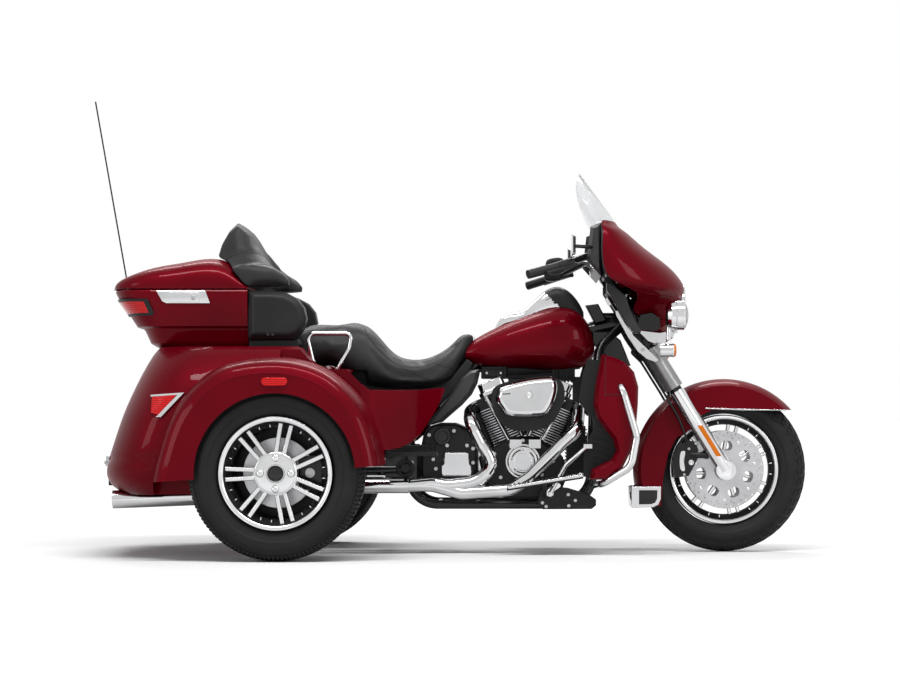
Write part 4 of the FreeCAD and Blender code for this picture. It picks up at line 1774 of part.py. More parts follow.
# Antenna on a bracket behind the top box.
antenna_tip = Vector(rear_axle_x - size.antenna_reach, size.antenna_y, size.antenna_tip_z)
antenna_foot = Vector(antenna_tip.x + size.antenna_lean, size.antenna_y, size.antenna_foot_z)
antenna_way = (antenna_tip - antenna_foot).normalize()
mast = round_bar(antenna_foot, antenna_tip, size.antenna_radius)
sleeve = round_bar(antenna_foot, antenna_foot + antenna_way * size.antenna_sleeve_length, size.antenna_sleeve_radius)
holder = block((antenna_foot.x - size.antenna_sleeve_radius, size.antenna_y - size.antenna_sleeve_radius,
                antenna_foot.z - size.antenna_bracket_height),
               (antenna_foot.x + size.box_corner_depth / 2, size.antenna_y + size.antenna_sleeve_radius,
                antenna_foot.z + size.antenna_sleeve_radius))
add_piece("antenna", [mast, sleeve, holder], [box_form(0)])

doc.recompute()
failed = [item.Label for item in doc.Objects if {"Invalid", "Error"} & set(item.State)]
failed += [piece.Label for piece in pieces if piece.Shape.isNull() or not piece.Shape.isValid()]
if failed:
    raise RuntimeError(f"These did not build: {failed}")

os.makedirs("parts", exist_ok=True)
for piece in pieces:
    piece.Shape.exportStep(f"parts/{piece.Label}.step")
    box = piece.Shape.BoundBox
    print(piece.Label, [round(v) for v in (box.XMin, box.XMax, box.YMin, box.YMax, box.ZMin, box.ZMax)],
          len(piece.Shape.Solids), round(piece.Shape.Volume / 1000))
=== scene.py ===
import math

import bmesh
import bpy
from mathutils import Matrix, Vector


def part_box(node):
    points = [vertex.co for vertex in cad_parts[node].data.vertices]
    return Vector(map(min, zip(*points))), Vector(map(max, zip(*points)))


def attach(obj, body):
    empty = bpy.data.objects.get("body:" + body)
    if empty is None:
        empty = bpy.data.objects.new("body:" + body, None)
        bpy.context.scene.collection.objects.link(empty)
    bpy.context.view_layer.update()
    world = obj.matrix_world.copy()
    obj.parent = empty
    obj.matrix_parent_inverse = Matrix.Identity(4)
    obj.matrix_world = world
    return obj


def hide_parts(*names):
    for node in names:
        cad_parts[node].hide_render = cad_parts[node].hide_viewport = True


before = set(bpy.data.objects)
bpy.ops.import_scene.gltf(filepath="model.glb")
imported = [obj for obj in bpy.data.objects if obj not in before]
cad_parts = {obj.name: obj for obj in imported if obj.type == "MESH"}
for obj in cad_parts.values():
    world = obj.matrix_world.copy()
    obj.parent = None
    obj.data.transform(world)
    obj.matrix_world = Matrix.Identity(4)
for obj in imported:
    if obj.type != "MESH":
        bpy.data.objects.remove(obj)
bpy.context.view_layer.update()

scene = bpy.context.scene

# Studio: a long lens at hub height looks square at the right side, over a pale floor that runs on
# into a white background. Two soft overhead panels and two softer side ones light it evenly.
camera_data = bpy.data.cameras.new("side_camera")
camera_data.sensor_width = 36
camera_data.lens = 95.9
camera_data.shift_x = -0.0778
camera_data.shift_y = 0.0724
camera_data.clip_end = 200
camera = bpy.data.objects.new("side_camera", camera_data)
camera.location = (0.288, -9.3, 0.576)
camera.rotation_euler = (math.radians(90), 0, 0)
scene.collection.objects.link(camera)
scene.camera = camera


def set_inputs(node, values):
    """Gives a node's sockets their values."""
    for socket, value in values.items():
        node.inputs[socket].default_value = value


def add_node(nodes, kind, values=None, **settings):
    """New node of a kind, with its settings and its sockets' values."""
    made = nodes.new(kind)
    for setting, value in settings.items():
        setattr(made, setting, value)
    set_inputs(made, values or {})
    return made


def join_up(links, *pairs):
    """Links each first socket to the second of its pair."""
    for start, end in pairs:
        links.new(start, end)


def seen_directly(nodes, links):
    """1 where the camera, a mirror or clear glass looks at the surface, else 0."""
    path = nodes.new("ShaderNodeLightPath")
    first, second = (add_node(nodes, "ShaderNodeMath", operation="MAXIMUM") for turn in range(2))
    join_up(links, (path.outputs["Is Camera Ray"], first.inputs[0]), (path.outputs["Is Glossy Ray"], first.inputs[1]),
            (first.outputs[0], second.inputs[0]), (path.outputs["Is Transmission Ray"], second.inputs[1]))
    return second.outputs[0]


def seen_or_lit(nodes, links, lighting, shown, out):
    """One shader for the light that a surface gives, another for how it looks."""
    which = nodes.new("ShaderNodeMixShader")
    join_up(links, (seen_directly(nodes, links), which.inputs[0]), (lighting.outputs[0], which.inputs[1]),
            (shown.outputs[0], which.inputs[2]), (which.outputs[0], nodes.new(out).inputs["Surface"]))


world = bpy.data.worlds.new("white_studio")
scene.world = world
world.use_nodes = True
nodes, links = world.node_tree.nodes, world.node_tree.links
nodes.clear()
soft_fill = add_node(nodes, "ShaderNodeBackground", {"Color": (0.3, 0.3, 0.305, 1)})
backdrop = add_node(nodes, "ShaderNodeBackground", {"Color": (1, 1, 1, 1)})
seen_or_lit(nodes, links, soft_fill, backdrop, "ShaderNodeOutputWorld")

floor_mesh = bpy.data.meshes.new("studio_floor")
floor_mesh.from_pydata([(-40, -40, 0), (40, -40, 0), (40, 60, 0), (-40, 60, 0)], [], [(0, 1, 2, 3)])
floor = bpy.data.objects.new("studio_floor", floor_mesh)
scene.collection.objects.link(floor)
floor_paint = bpy.data.materials.new("pale_floor")
floor_paint.use_nodes = True
nodes, links = floor_paint.node_tree.nodes, floor_paint.node_tree.links
nodes.clear()
matt = add_node(nodes, "ShaderNodeBsdfDiffuse", {"Color": (0.88, 0.88, 0.88, 1)})
plain = add_node(nodes, "ShaderNodeBsdfDiffuse", {"Color": (0.8, 0.8, 0.8, 1)})
glow, place, lit = (nodes.new(kind) for kind in ("ShaderNodeEmission", "ShaderNodeTexCoord", "ShaderNodeAddShader"))
distance = add_node(nodes, "ShaderNodeVectorMath", operation="LENGTH")
fade = add_node(nodes, "ShaderNodeMapRange", {"From Min": 1.5, "From Max": 6.5, "To Min": 0.0, "To Max": 0.78})
join_up(links, (place.outputs["Object"], distance.inputs[0]), (distance.outputs["Value"], fade.inputs["Value"]),
        (fade.outputs["Result"], glow.inputs["Strength"]), (matt.outputs[0], lit.inputs[0]),
        (glow.outputs[0], lit.inputs[1]))
seen_or_lit(nodes, links, plain, lit, "ShaderNodeOutputMaterial")
floor_mesh.materials.append(floor_paint)

for name, place, aim, size, power in (
    ("roof_strip_right", (0.2, -2.2, 4.2), (0, 0, 0.6), (4.6, 0.5), 190),
    ("roof_strip_left", (-0.2, 2.6, 4.0), (0, 0, 0.6), (4.6, 0.5), 140),
    ("side_panel_front", (4.5, -4.0, 1.9), (0.3, 0, 0.6), (1.6, 1.8), 55),
    ("side_panel_rear", (-4.8, -3.6, 1.9), (-0.3, 0, 0.6), (1.6, 1.8), 45),
):
    lamp_data = bpy.data.lights.new(name, "AREA")
    lamp_data.shape = "RECTANGLE"
    lamp_data.size, lamp_data.size_y = size
    lamp_data.energy = power
    lamp = bpy.data.objects.new(name, lamp_data)
    lamp.location = place
    lamp.rotation_euler = (Vector(aim) - Vector(place)).to_track_quat("-Z", "Y").to_euler()
    scene.collection.objects.link(lamp)
scene.view_settings.view_transform = "Standard"

# Rear body: one deep shell of moulded, painted plastic over the axle. Its tail bows round and leans
# forward as it rises, and a step runs round it at bumper height. Points are in millimetres.
rear_axle_x, rear_axle_z = -594, 320
body_foot_z, body_height, step_z = 237, 547, 359
tail_x, tail_lean, body_front_x, body_half_width, tail_corner = -1284, 190, -300, 600, 290
body_wall, inner_y, arch_y, fender_y = 8, 444, 452, 695
far, beyond_tail = 900, -1500


def flow(points, steps, closed=False):
    """More points on a smooth curve through the given ones."""
    count = len(points)
    dense = []
    for index in range(count if closed else count - 1):
        if closed:
            near = [points[(index + k) % count] for k in (-1, 0, 1, 2)]
        else:
            near = [points[min(max(index + k, 0), count - 1)] for k in (-1, 0, 1, 2)]
        for step in range(steps):
            t = step / steps
            dense.append(tuple(
                0.5 * (2 * b + (c - a) * t + (2 * a - 5 * b + 4 * c - d) * t * t + (3 * b - a - 3 * c + d) * t ** 3)
                for a, b, c, d in zip(*near)))
    if not closed:
        dense.append(tuple(points[-1]))
    return dense


def skin(rows, ring=True, ends=True):
    """Surface over rows of points, each a ring or an open line, with its ends closed."""
    width = len(rows[0])
    faces = []
    for row in range(len(rows) - 1):
        for here in range(width if ring else width - 1):
            beside = (here + 1) % width
            faces.append((row * width + here, row * width + beside, (row + 1) * width + beside,
                          (row + 1) * width + here))
    if ring and ends:
        faces.append(tuple(reversed(range(width))))
        faces.append(tuple((len(rows) - 1) * width + here for here in range(width)))
    return [tuple(point) for row in rows for point in row], faces


def joined(*shapes):
    """Several shapes as one."""
    points, faces = [], []
    for more_points, more_faces in shapes:
        start = len(points)
        points += more_points
        faces += [tuple(start + corner for corner in face) for face in more_faces]
    return points, faces


def both(shape):
    """The shape on both sides of the middle plane."""
    return joined(shape, ([(x, -y, z) for x, y, z in shape[0]], [tuple(reversed(face)) for face in shape[1]]))


def box_shape(low, high):
    """Box between two opposite corners."""
    (a, b, c), (d, e, f) = low, high
    corners = [(a, b, c), (d, b, c), (d, e, c), (a, e, c), (a, b, f), (d, b, f), (d, e, f), (a, e, f)]
    return corners, [(0, 3, 2, 1), (4, 5, 6, 7), (0, 1, 5, 4), (1, 2, 6, 5), (2, 3, 7, 6), (3, 0, 4, 7)]


def lathe(profile, centre, axis, sides=64, closed=False):
    """Surface turned about an axis from (distance along, radius) pairs, closed on itself for a ring."""
    way = Vector(axis).normalized()
    across = way.orthogonal().normalized()
    up = way.cross(across)
    turns = [(math.cos(math.tau * k / sides), math.sin(math.tau * k / sides)) for k in range(sides)]
    rows = []
    for along, radius in profile:
        middle = Vector(centre) + way * along
        rows.append([tuple(middle + (across * c + up * s) * radius) for c, s in turns])
    return skin(rows + rows[:1], ends=False) if closed else skin(rows)


def bar(start, end, radius, sides=24, bevel=0):
    """Round bar between two points, its ends broken by a small chamfer."""
    length = (Vector(end) - Vector(start)).length
    profile = [(0, radius), (length, radius)]
    if bevel:
        profile = [(0, radius - bevel), (bevel, radius), (length - bevel, radius), (length, radius - bevel)]
    return lathe(profile, start, Vector(end) - Vector(start), sides)


def mesh_of(name, shape, merge=0.01):
    """Mesh of a shape, its doubles merged and its faces turned outwards."""
    mesh = bpy.data.meshes.new(name)
    mesh.from_pydata(shape[0], [], shape[1])
    work = bmesh.new()
    work.from_mesh(mesh)
    bmesh.ops.remove_doubles(work, verts=work.verts, dist=merge)
    bmesh.ops.recalc_face_normals(work, faces=work.faces)
    work.to_mesh(mesh)
    work.free()
    return mesh


def carved(shape, cuts=(), within=()):
    """The shape less what is cut away, and only within others."""
    holders = []
    for index, part in enumerate([shape, *cuts, *within]):
        holder = bpy.data.objects.new(f"carving_{index}", mesh_of("carving", part))
        scene.collection.objects.link(holder)
        holders.append(holder)
    for index, holder in enumerate(holders[1:]):
        step = holders[0].modifiers.new("carve", "BOOLEAN")
        step.operation = "DIFFERENCE" if index < len(cuts) else "INTERSECT"
        step.solver = "EXACT"
        step.object = holder
    result = holders[0].evaluated_get(bpy.context.evaluated_depsgraph_get()).to_mesh()
    points = [tuple(vertex.co) for vertex in result.vertices]
    faces = [tuple(face.vertices) for face in result.polygons]
    for holder in holders:
        mesh = holder.data
        bpy.data.objects.remove(holder)
        bpy.data.meshes.remove(mesh)
    return points, faces


def show(name, mesh, material, body, nodes, smooth, bevel, segments, tints):
    """Object of a mesh in metres: finished, its edges broken, riding on its body for its CAD nodes."""
    mesh.polygons.foreach_set("use_smooth", [True] * len(mesh.polygons))
    mesh.set_sharp_from_angle(angle=math.radians(smooth))
    mesh.materials.append(material)
    for index, (extra, test) in enumerate(tints, 1):
        mesh.materials.append(extra)
        for polygon in mesh.polygons:
            if test(polygon.center * 1000, polygon.normal):
                polygon.material_index = index
    made = bpy.data.objects.new(name, mesh)
    scene.collection.objects.link(made)
    if bevel:
        edge = made.modifiers.new("edges", "BEVEL")
        edge.width = bevel * 0.001
        edge.segments = segments
        edge.limit_method = "ANGLE"
        edge.angle_limit = math.radians(35)
        edge.harden_normals = True
    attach(made, body)
    if nodes:
        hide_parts(*nodes)
    return made


def make_piece(name, shape, material, body, nodes=(), smooth=32, bevel=0, segments=2, tints=()):
    """Piece from a shape in millimetres, with other materials on the faces that a test picks."""
    mesh = mesh_of(name, shape)
    mesh.transform(Matrix.Scale(0.001, 4))
    return show(name, mesh, material, body, nodes, smooth, bevel, segments, tints)


def unevenness_group():
    """Broad and fine unevenness of a made surface, as two masks round 0.5."""
    group = bpy.data.node_groups.new("surface_unevenness", "ShaderNodeTree")
    for socket, way in (("Broad Scale", "INPUT"), ("Fine Scale", "INPUT"), ("Broad", "OUTPUT"), ("Fine", "OUTPUT")):
        group.interface.new_socket(socket, in_out=way, socket_type="NodeSocketFloat")
    start, end, place = (group.nodes.new(kind)
                         for kind in ("NodeGroupInput", "NodeGroupOutput", "ShaderNodeTexCoord"))
    for result, detail in (("Broad", 2), ("Fine", 5)):
        noise = add_node(group.nodes, "ShaderNodeTexNoise", {"Detail": detail, "Roughness": 0.55})
        join_up(group.links, (place.outputs["Object"], noise.inputs["Vector"]),
                (start.outputs[f"{result} Scale"], noise.inputs["Scale"]), (noise.outputs["Fac"], end.inputs[result]))
    return group


unevenness = unevenness_group()


def new_material(name):
    """Empty node material with its shader."""
    material = bpy.data.materials.new(name)
    material.use_nodes = True
    return material, material.node_tree.nodes, material.node_tree.links, material.node_tree.nodes["Principled BSDF"]


def coloured(nodes, links, shader, mask, dark, light, start=0, end=1):
    """Base colour that runs from dark to light as a mask rises."""
    colour = nodes.new("ShaderNodeValToRGB")
    for element, position, value in zip(colour.color_ramp.elements, (start, end), (dark, light)):
        element.position = position
        element.color = (*value, 1)
    join_up(links, (mask, colour.inputs["Fac"]), (colour.outputs["Color"], shader.inputs["Base Color"]))


def embossed(nodes, links, shader, mask, strength, depth):
    """Bump that follows a mask."""
    bump = add_node(nodes, "ShaderNodeBump", {"Strength": strength, "Distance": depth})
    join_up(links, (mask, bump.inputs["Height"]), (bump.outputs["Normal"], shader.inputs["Normal"]))


def mixed(nodes, links, first, first_share, second, second_share):
    """Sum of two masks, each by its share."""
    scaled = add_node(nodes, "ShaderNodeMath", {1: second_share}, operation="MULTIPLY")
    total = add_node(nodes, "ShaderNodeMath", {1: first_share}, operation="MULTIPLY_ADD")
    join_up(links, (second, scaled.inputs[0]), (first, total.inputs[0]), (scaled.outputs[0], total.inputs[2]))
    return total.outputs[0]


def finish(name, dark, light, metallic, smooth_end, rough_end, broad=6, fine=900, height=0.0, depth=0.0002,
           specular=0.2, transmission=0.0):
    """Made surface whose colour and gloss drift a little over it, with a fine grain."""
    material, nodes, links, shader = new_material(name)
    masks = add_node(nodes, "ShaderNodeGroup", {"Broad Scale": broad, "Fine Scale": fine}, node_tree=unevenness)
    coloured(nodes, links, shader, masks.outputs["Broad"], dark, light, 0.3, 0.7)
    gloss = add_node(nodes, "ShaderNodeMapRange",
                     {"From Min": 0.3, "From Max": 0.7, "To Min": smooth_end, "To Max": rough_end})
    join_up(links, (masks.outputs["Fine"], gloss.inputs["Value"]),
            (gloss.outputs["Result"], shader.inputs["Roughness"]))
    if height:
        embossed(nodes, links, shader, masks.outputs["Fine"], height, depth)
    set_inputs(shader, {"Metallic": metallic, "Specular IOR Level": specular, "Transmission Weight": transmission})
    return material


def metallic_paint(name, deep, bright):
    """Deep red with fine metal flakes under a clear, polished coat."""
    material, nodes, links, shader = new_material(name)
    place = nodes.new("ShaderNodeTexCoord")
    flakes = add_node(nodes, "ShaderNodeTexVoronoi", {"Scale": 1500})
    drift = add_node(nodes, "ShaderNodeTexNoise", {"Scale": 3})
    for texture in (flakes, drift):
        links.new(place.outputs["Object"], texture.inputs["Vector"])
    coloured(nodes, links, shader, mixed(nodes, links, flakes.outputs["Distance"], 0.35, drift.outputs["Fac"], 0.65),
             deep, bright, 0.25, 0.8)
    embossed(nodes, links, shader, flakes.outputs["Distance"], 0.06, 0.0001)
    set_inputs(shader, {"Metallic": 0.3, "Roughness": 0.4, "Specular IOR Level": 0.01, "Coat Weight": 0.12,
                        "Coat Roughness": 0.02})
    return material


red_paint = metallic_paint("red_paint", (0.082, 0.0, 0.0035), (0.15, 0.0, 0.006))
tail_round = ((0.00, 0.00), (0.03, 0.35), (0.14, 0.66), (0.34, 0.86), (0.62, 0.97), (1.00, 1.00))


def tail_ring(z, rear_x, front_x, half_width, corner, inset):
    """Level ring with a bowed tail, straight sides and a straight front."""
    right = [(rear_x + inset + forward * corner, -across * (half_width - inset), z)
             for forward, across in flow(tail_round, 5)]
    side_end = (front_x, right[-1][1], z)
    sides = [tuple(Vector(right[-1]).lerp(side_end, k / 8)) for k in range(1, 9)]
    half = right + sides
    return [(x, -y, z) for x, y, z in reversed(half[1:])] + half


body_levels = ((0.00, 0.30, 0.88), (0.06, 0.08, 0.94), (0.16, 0.00, 0.98), (0.36, 0.16, 1.00),
               (0.58, 0.38, 0.98), (0.80, 0.66, 0.90), (0.94, 0.87, 0.80), (1.00, 1.00, 0.72))


def body_shape(inset, step=0):
    """Outside of the rear body, set in by a distance, with the step in its tail."""
    rings = [tail_ring(body_foot_z + up * body_height, tail_x + forward * tail_lean, body_front_x,
                       across * body_half_width, tail_corner, inset) for up, forward, across in flow(body_levels, 5)]
    if step:
        low = min(range(len(rings)), key=lambda k: abs(rings[k][0][2] - step_z))
        rings[low] = [(x + step * (1 if x < 0 else 0), y * (1 - step / body_half_width), z) for x, y, z in rings[low]]
    return skin(rings)


def inwards(points, distance):
    """Closed outline of (x, z) points moved inwards."""
    count = len(points)
    area = sum(points[k][0] * points[(k + 1) % count][1] - points[(k + 1) % count][0] * points[k][1]
               for k in range(count))
    turn = 1 if area > 0 else -1
    moved = []
    for k, (x, z) in enumerate(points):
        before = (Vector(points[k]) - Vector(points[k - 1])).normalized()
        after = (Vector(points[(k + 1) % count]) - Vector(points[k])).normalized()
        along = before + after
        inward = Vector((-along.y, along.x)).normalized() * turn
        lean = max(abs(inward.dot(Vector((-after.y, after.x)))), 0.5)
        moved.append((x + inward.x * distance / lean, z + inward.y * distance / lean))
    return moved


def slab(outline, layers, steps=0, across=1):
    """Side outline, rounded in steps or straight, carried across in layers of (y, distance set in)."""
    layers = flow(layers, across) if across > 1 else layers
    rows = []
    for y, inset in layers:
        ring = inwards(outline, inset)
        rows.append([(x, y, z) for x, z in (flow(ring, steps, True) if steps else ring)])
    return skin(rows)


def prism(outline, low_y, high_y):
    """Straight-sided side outline between two widths."""
    return slab(outline, ((low_y, 0), (high_y, 0)))


def placed(shares, corner, length, height):
    """Side outline from shares of a length and a height."""
    return [(corner[0] + along * length, corner[1] + up * height) for along, up in shares]


fender_shares = (
    (0.00, 0.00), (0.03, 0.26), (0.08, 0.52), (0.16, 0.74), (0.27, 0.91), (0.39, 0.98), (0.52, 1.00),
    (0.63, 0.98), (0.74, 0.91), (0.83, 0.79), (0.91, 0.62), (0.96, 0.40), (0.99, 0.17), (1.00, -0.10),
    (0.84, -0.45), (0.50, -0.60), (0.16, -0.45), (0.01, -0.25),
)
fender_line = placed(fender_shares, (-1048, 288), 847, 454)
fender_outside = slab(fender_line, ((-arch_y, 0), (-571, 0), (-633, 8), (-676, 26), (-fender_y, 62)), 6, 4)
inside = body_shape(body_wall)
body_cuts = [
    carved(inside, within=[box_shape((beyond_tail, -inner_y, 340), (-770, inner_y, 776))]),
    carved(inside, within=[box_shape((beyond_tail, -inner_y, 100), (-754, inner_y, 332))]),
    box_shape((-762, -inner_y, 100), (-585, inner_y, 776)),
    box_shape((-593, -inner_y, 100), (400, inner_y, 692)),
    box_shape((-577, -195, 700), (400, 195, far)),
    prism([(-546, 900), (-546, 796), (-504, 752), (-466, 700), (-352, 700), (-298, 644), (-200, 644), (-200, 900)],
          -far, far),
    box_shape((beyond_tail, -285, 356), (-778, 285, 700)),
    carved(inside, within=[both(box_shape((beyond_tail, -far, 0), (-770, -arch_y, 640)))]),
]
for cutter in (fender_outside,
               bar((rear_axle_x, -arch_y, rear_axle_z), (rear_axle_x, -far, rear_axle_z), 345, 96),
               bar((rear_axle_x, -300, rear_axle_z), (rear_axle_x, -far, rear_axle_z), 62, 32),
               box_shape((rear_axle_x, -far, 0), (far, -arch_y, far)),
               bar((-474, -385, 250.8), (-1400, -385, 210), 40)):
    body_cuts.append(both(cutter))
rear_shell = carved(body_shape(0, step=5), body_cuts)
make_piece("rear_body_shell", rear_shell, red_paint, "chassis", ["rear_body"], smooth=38, bevel=1.5)

# Rear fenders: pressed shells over the rear wheels. A crowned edge runs round the outside, with a
# fine crease where it meets the flat flank, and the rim is folded in over the tyre.
fender_inside = slab(fender_line, ((-arch_y, 6), (-571, 6), (-630, 14), (-671, 32), (-689, 68)), 6, 4)
foot_cut = prism([(-1900, 226), (-1048, 288), (-201, 350), (700, 350), (700, -600), (-1900, -600)], -1400, 0)
arch_cut = bar((rear_axle_x, 0, rear_axle_z), (rear_axle_x, -far, rear_axle_z), 290, 128)
creased = slab(fender_line, ((-arch_y, 0), (-571, 0), (-633, 8), (-676, 26), (-693.5, 58), (-fender_y, 62),
                             (-693.8, 64), (-693.8, 66)), 6, 3)
fender_shape = carved(creased, [foot_cut, fender_inside, arch_cut])
make_piece("rear_fender_shells", both(fender_shape), red_paint, "chassis", ["rear_fenders"],
           bevel=2, smooth=40)

# Side panels: moulded fairings that run forward from the rear body under the seat and taper in.
# They are clipped to the body behind and to the frame in front.
panel_foot_z, panel_length, panel_height, panel_half_width = 399, 303, 247, 452
panel_shares = ((0.00, 1.00), (0.10, 0.91), (0.42, 0.905), (0.72, 0.91), (0.91, 0.94), (1.00, 0.945), (0.99, 0.88),
                (0.94, 0.73), (0.87, 0.56), (0.78, 0.38), (0.70, 0.23), (0.59, 0.11), (0.45, 0.03), (0.27, 0.00),
                (0.00, 0.00))
outer_plan = ((0.00, 1.00), (0.16, 0.96), (0.36, 0.85), (0.60, 0.70), (0.80, 0.575), (1.00, 0.46))
inner_plan = ((1.00, 0.41), (0.80, 0.52), (0.60, 0.64), (0.36, 0.79), (0.16, 0.91), (0.00, 0.95))
panel_side = prism(placed(panel_shares, (body_front_x, panel_foot_z), panel_length, panel_height), -fender_y, 0)
plan_ring = [point for plan in (outer_plan, inner_plan)
             for point in flow(placed(plan, (body_front_x, 0), panel_length, -panel_half_width), 12)]
panel_block = skin([[(x, y, z) for x, y in plan_ring] for z in (0, far)])
panel_shape = carved(panel_side, [fender_outside], [panel_block])
make_piece("side_panel_shells", both(panel_shape), red_paint, "chassis", ["side_panels"],
           bevel=3, smooth=50)

# Trunk door: the tail's own skin within the opening, hung on two knuckles along its foot. A bare
# plate holder stands below it, with four threaded holes.
steel_satin = finish("satin_steel", (0.40, 0.40, 0.41), (0.52, 0.52, 0.53), 0.9, 0.24, 0.36, 8, 500)
black_plastic = finish("black_plastic", (0.008, 0.008, 0.0085), (0.015, 0.015, 0.0155), 0.0, 0.38, 0.55, 5, 1400,
                       0.25, 0.0003)
door_room = box_shape((beyond_tail, -280, 361), (-778, 280, 695))
door_shape = carved(body_shape(0), [carved(inside, within=[box_shape((beyond_tail, -far, 200), (-700, far, far))])],
                    [door_room])
make_piece("trunk_door_skin", door_shape, red_paint, "trunk_door", ["trunk_door"], bevel=2, smooth=40)
hinge_x, hinge_z = -1289, 348
knuckles, lugs = [], []
for y in (-150, 150):
    knuckles += [bar((hinge_x, y - 18, hinge_z), (hinge_x, y + 18, hinge_z), 8, 24, 1),
                 box_shape((hinge_x, y - 18, hinge_z), (-1272, y + 18, 372))]
    for near, away in ((y - 19, y - 26), (y + 19, y + 26)):
        lugs += [bar((hinge_x, near, hinge_z), (hinge_x, away, hinge_z), 6, 24, 1),
                 box_shape((hinge_x, min(near, away), 334), (-1270, max(near, away), hinge_z))]
make_piece("door_hinges", joined(*knuckles), steel_satin, "trunk_door", bevel=0.6)
make_piece("body_hinges", joined(*lugs), steel_satin, "chassis", bevel=0.6)
plate_holder = carved(box_shape((-1292, -95, 258), (-1264, 95, 350)),
                      [bar((-1320, y, z), (-1240, y, z), 3.2, 20) for y in (-73, 73) for z in (269, 339)])
make_piece("plate_holder", plate_holder, black_plastic, "chassis", bevel=3)


# Lamps on the body: ribbed red lenses. The tail lamps have a chrome bar along their front edge, and
# the fenders carry small round-ended markers.
def lens(name, colour, rib_highlight_colour, ribs):
    """Clear coloured plastic with moulded ribs over a pale reflector. Its colour drifts at random, is lighter on each
    rib's crest, a painted highlight, and darker in the grooves, painted shade.
    """
    material, nodes, links, shader = new_material(name)
    place = nodes.new("ShaderNodeTexCoord")
    ribbing = add_node(nodes, "ShaderNodeTexWave", {"Scale": ribs, "Distortion": 0}, bands_direction="Z")
    drift = add_node(nodes, "ShaderNodeTexNoise", {"Scale": 14})
    join_up(links, (place.outputs["Object"], ribbing.inputs["Vector"]),
            (place.outputs["Object"], drift.inputs["Vector"]))
    # The colour follows the ribs, with a painted highlight on their crests and painted shade between them. The noise
    # adds random tone.
    coloured(nodes, links, shader, mixed(nodes, links, drift.outputs["Fac"], 0.45, ribbing.outputs["Fac"], 0.7),
             colour, rib_highlight_colour)
    embossed(nodes, links, shader, ribbing.outputs["Fac"], 0.5, 0.002)
    set_inputs(shader, {"Roughness": 0.12, "Specular IOR Level": 0.1, "Coat Weight": 0.3, "Coat Roughness": 0.03})
    return material


red_lens = lens("red_lens", (0.24, 0.0, 0.002), (0.66, 0.002, 0.004), 42)
chrome = finish("chrome", (0.55, 0.555, 0.56), (0.62, 0.62, 0.63), 1.0, 0.04, 0.09, 7, 60)


def on_tail(outline, low, high):
    """Outline laid on the body's tail skin between two distances off it."""
    return carved(prism(outline, -fender_y, -arch_y), [body_shape(-low), fender_outside], [body_shape(-high)])


lamp_shares = ((0.02, 0.90), (0.80, 0.95), (0.30, 0.04), (0.02, 0.14))
make_piece("tail_lamp_lenses", both(on_tail(placed(lamp_shares, (-1058, 528), 122, 84), -2, 8)), red_lens, "chassis",
           ["tail_lamps"], bevel=1.5)
make_piece("tail_lamp_bezels", both(joined(
    on_tail([(-1062, 605), (-936, 613), (-941, 606), (-1062, 598)], -2, 8.4),
    on_tail([(-952, 612), (-934, 613), (-1016, 524), (-1034, 524)], -2, 9.4))), chrome, "chassis", bevel=1)
marker_ring = [(-594 + 32 * side + 15 * math.cos(a), 652 + 15 * math.sin(a))
               for side, start in ((1, -90), (-1, 90)) for a in (math.radians(start + 18 * k) for k in range(11))]
make_piece("fender_markers", both(slab(marker_ring, ((-692, 0), (-701, 0), (-703, 2)))), red_lens, "chassis",
           bevel=0.8)

# Top box base: a moulded tub on the rear deck. Its lower half steps in, and dark-framed red lamps
# wrap round its two rear corners. A chrome latch plate closes the lid on the right.
box_foot_z, box_height, box_rear_x, box_lean = 784, 216, -1264, 163
box_front_x, box_half_width, box_corner = -737, 292, 130
box_levels = ((0.00, 1.00, 0.80), (0.08, 0.81, 0.84), (0.30, 0.68, 0.89), (0.335, 0.64, 0.895), (0.37, 0.50, 0.93),
              (0.62, 0.29, 0.97), (0.85, 0.08, 1.00), (0.975, 0.00, 1.00), (1.00, 0.015, 0.99))


def box_shell(inset):
    """Outside of the top box's base, set in by a distance."""
    levels = [tuple(a + (b - a) * step / 4 for a, b in zip(low, high))
              for low, high in zip(box_levels, box_levels[1:]) for step in range(4)] + [box_levels[-1]]
    return skin([tail_ring(box_foot_z + up * box_height, box_rear_x + forward * box_lean, box_front_x - inset,
                           across * box_half_width, box_corner, inset) for up, forward, across in levels])


def cover(material, *names):
    """Gives CAD pieces whose own form stands a material."""
    for name in names:
        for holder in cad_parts[name].material_slots:
            holder.material = material


cover(red_paint, "tour_box_lid")
tub = carved(box_shell(0), [carved(box_shell(5), within=[box_shape((beyond_tail, -400, 789), (-600, 400, 1100))])])
make_piece("tour_box_tub", tub, red_paint, "chassis", ["tour_box_base"], bevel=1.6, smooth=24)
lid_y, lid_z = 303, 1000
lugs, knuckles = [], []
for x in (-1130, -920):
    for near, away in ((x - 26, x - 19), (x + 19, x + 26)):
        lugs += [bar((near, lid_y, lid_z), (away, lid_y, lid_z), 6, 20),
                 box_shape((near, 283, 980), (away, lid_y, lid_z))]
    lugs.append(bar((x - 26, lid_y, lid_z), (x + 26, lid_y, lid_z), 4, 16))
    knuckles += [bar((x - 18, lid_y, lid_z), (x + 18, lid_y, lid_z), 8, 24, 1),
                 box_shape((x - 18, 290, 1006), (x + 18, lid_y, 1030))]
make_piece("lid_hinge_lugs", joined(*lugs), steel_satin, "chassis", bevel=0.5)
make_piece("lid_hinge_knuckles", joined(*knuckles), steel_satin, "box_lid", bevel=0.5)


def on_box(outline, low, high):
    """Outline laid on the right side and corner of the top box between two distances off it."""
    return carved(prism(outline, -400, -130), [box_shell(-low)], [box_shell(-high)])


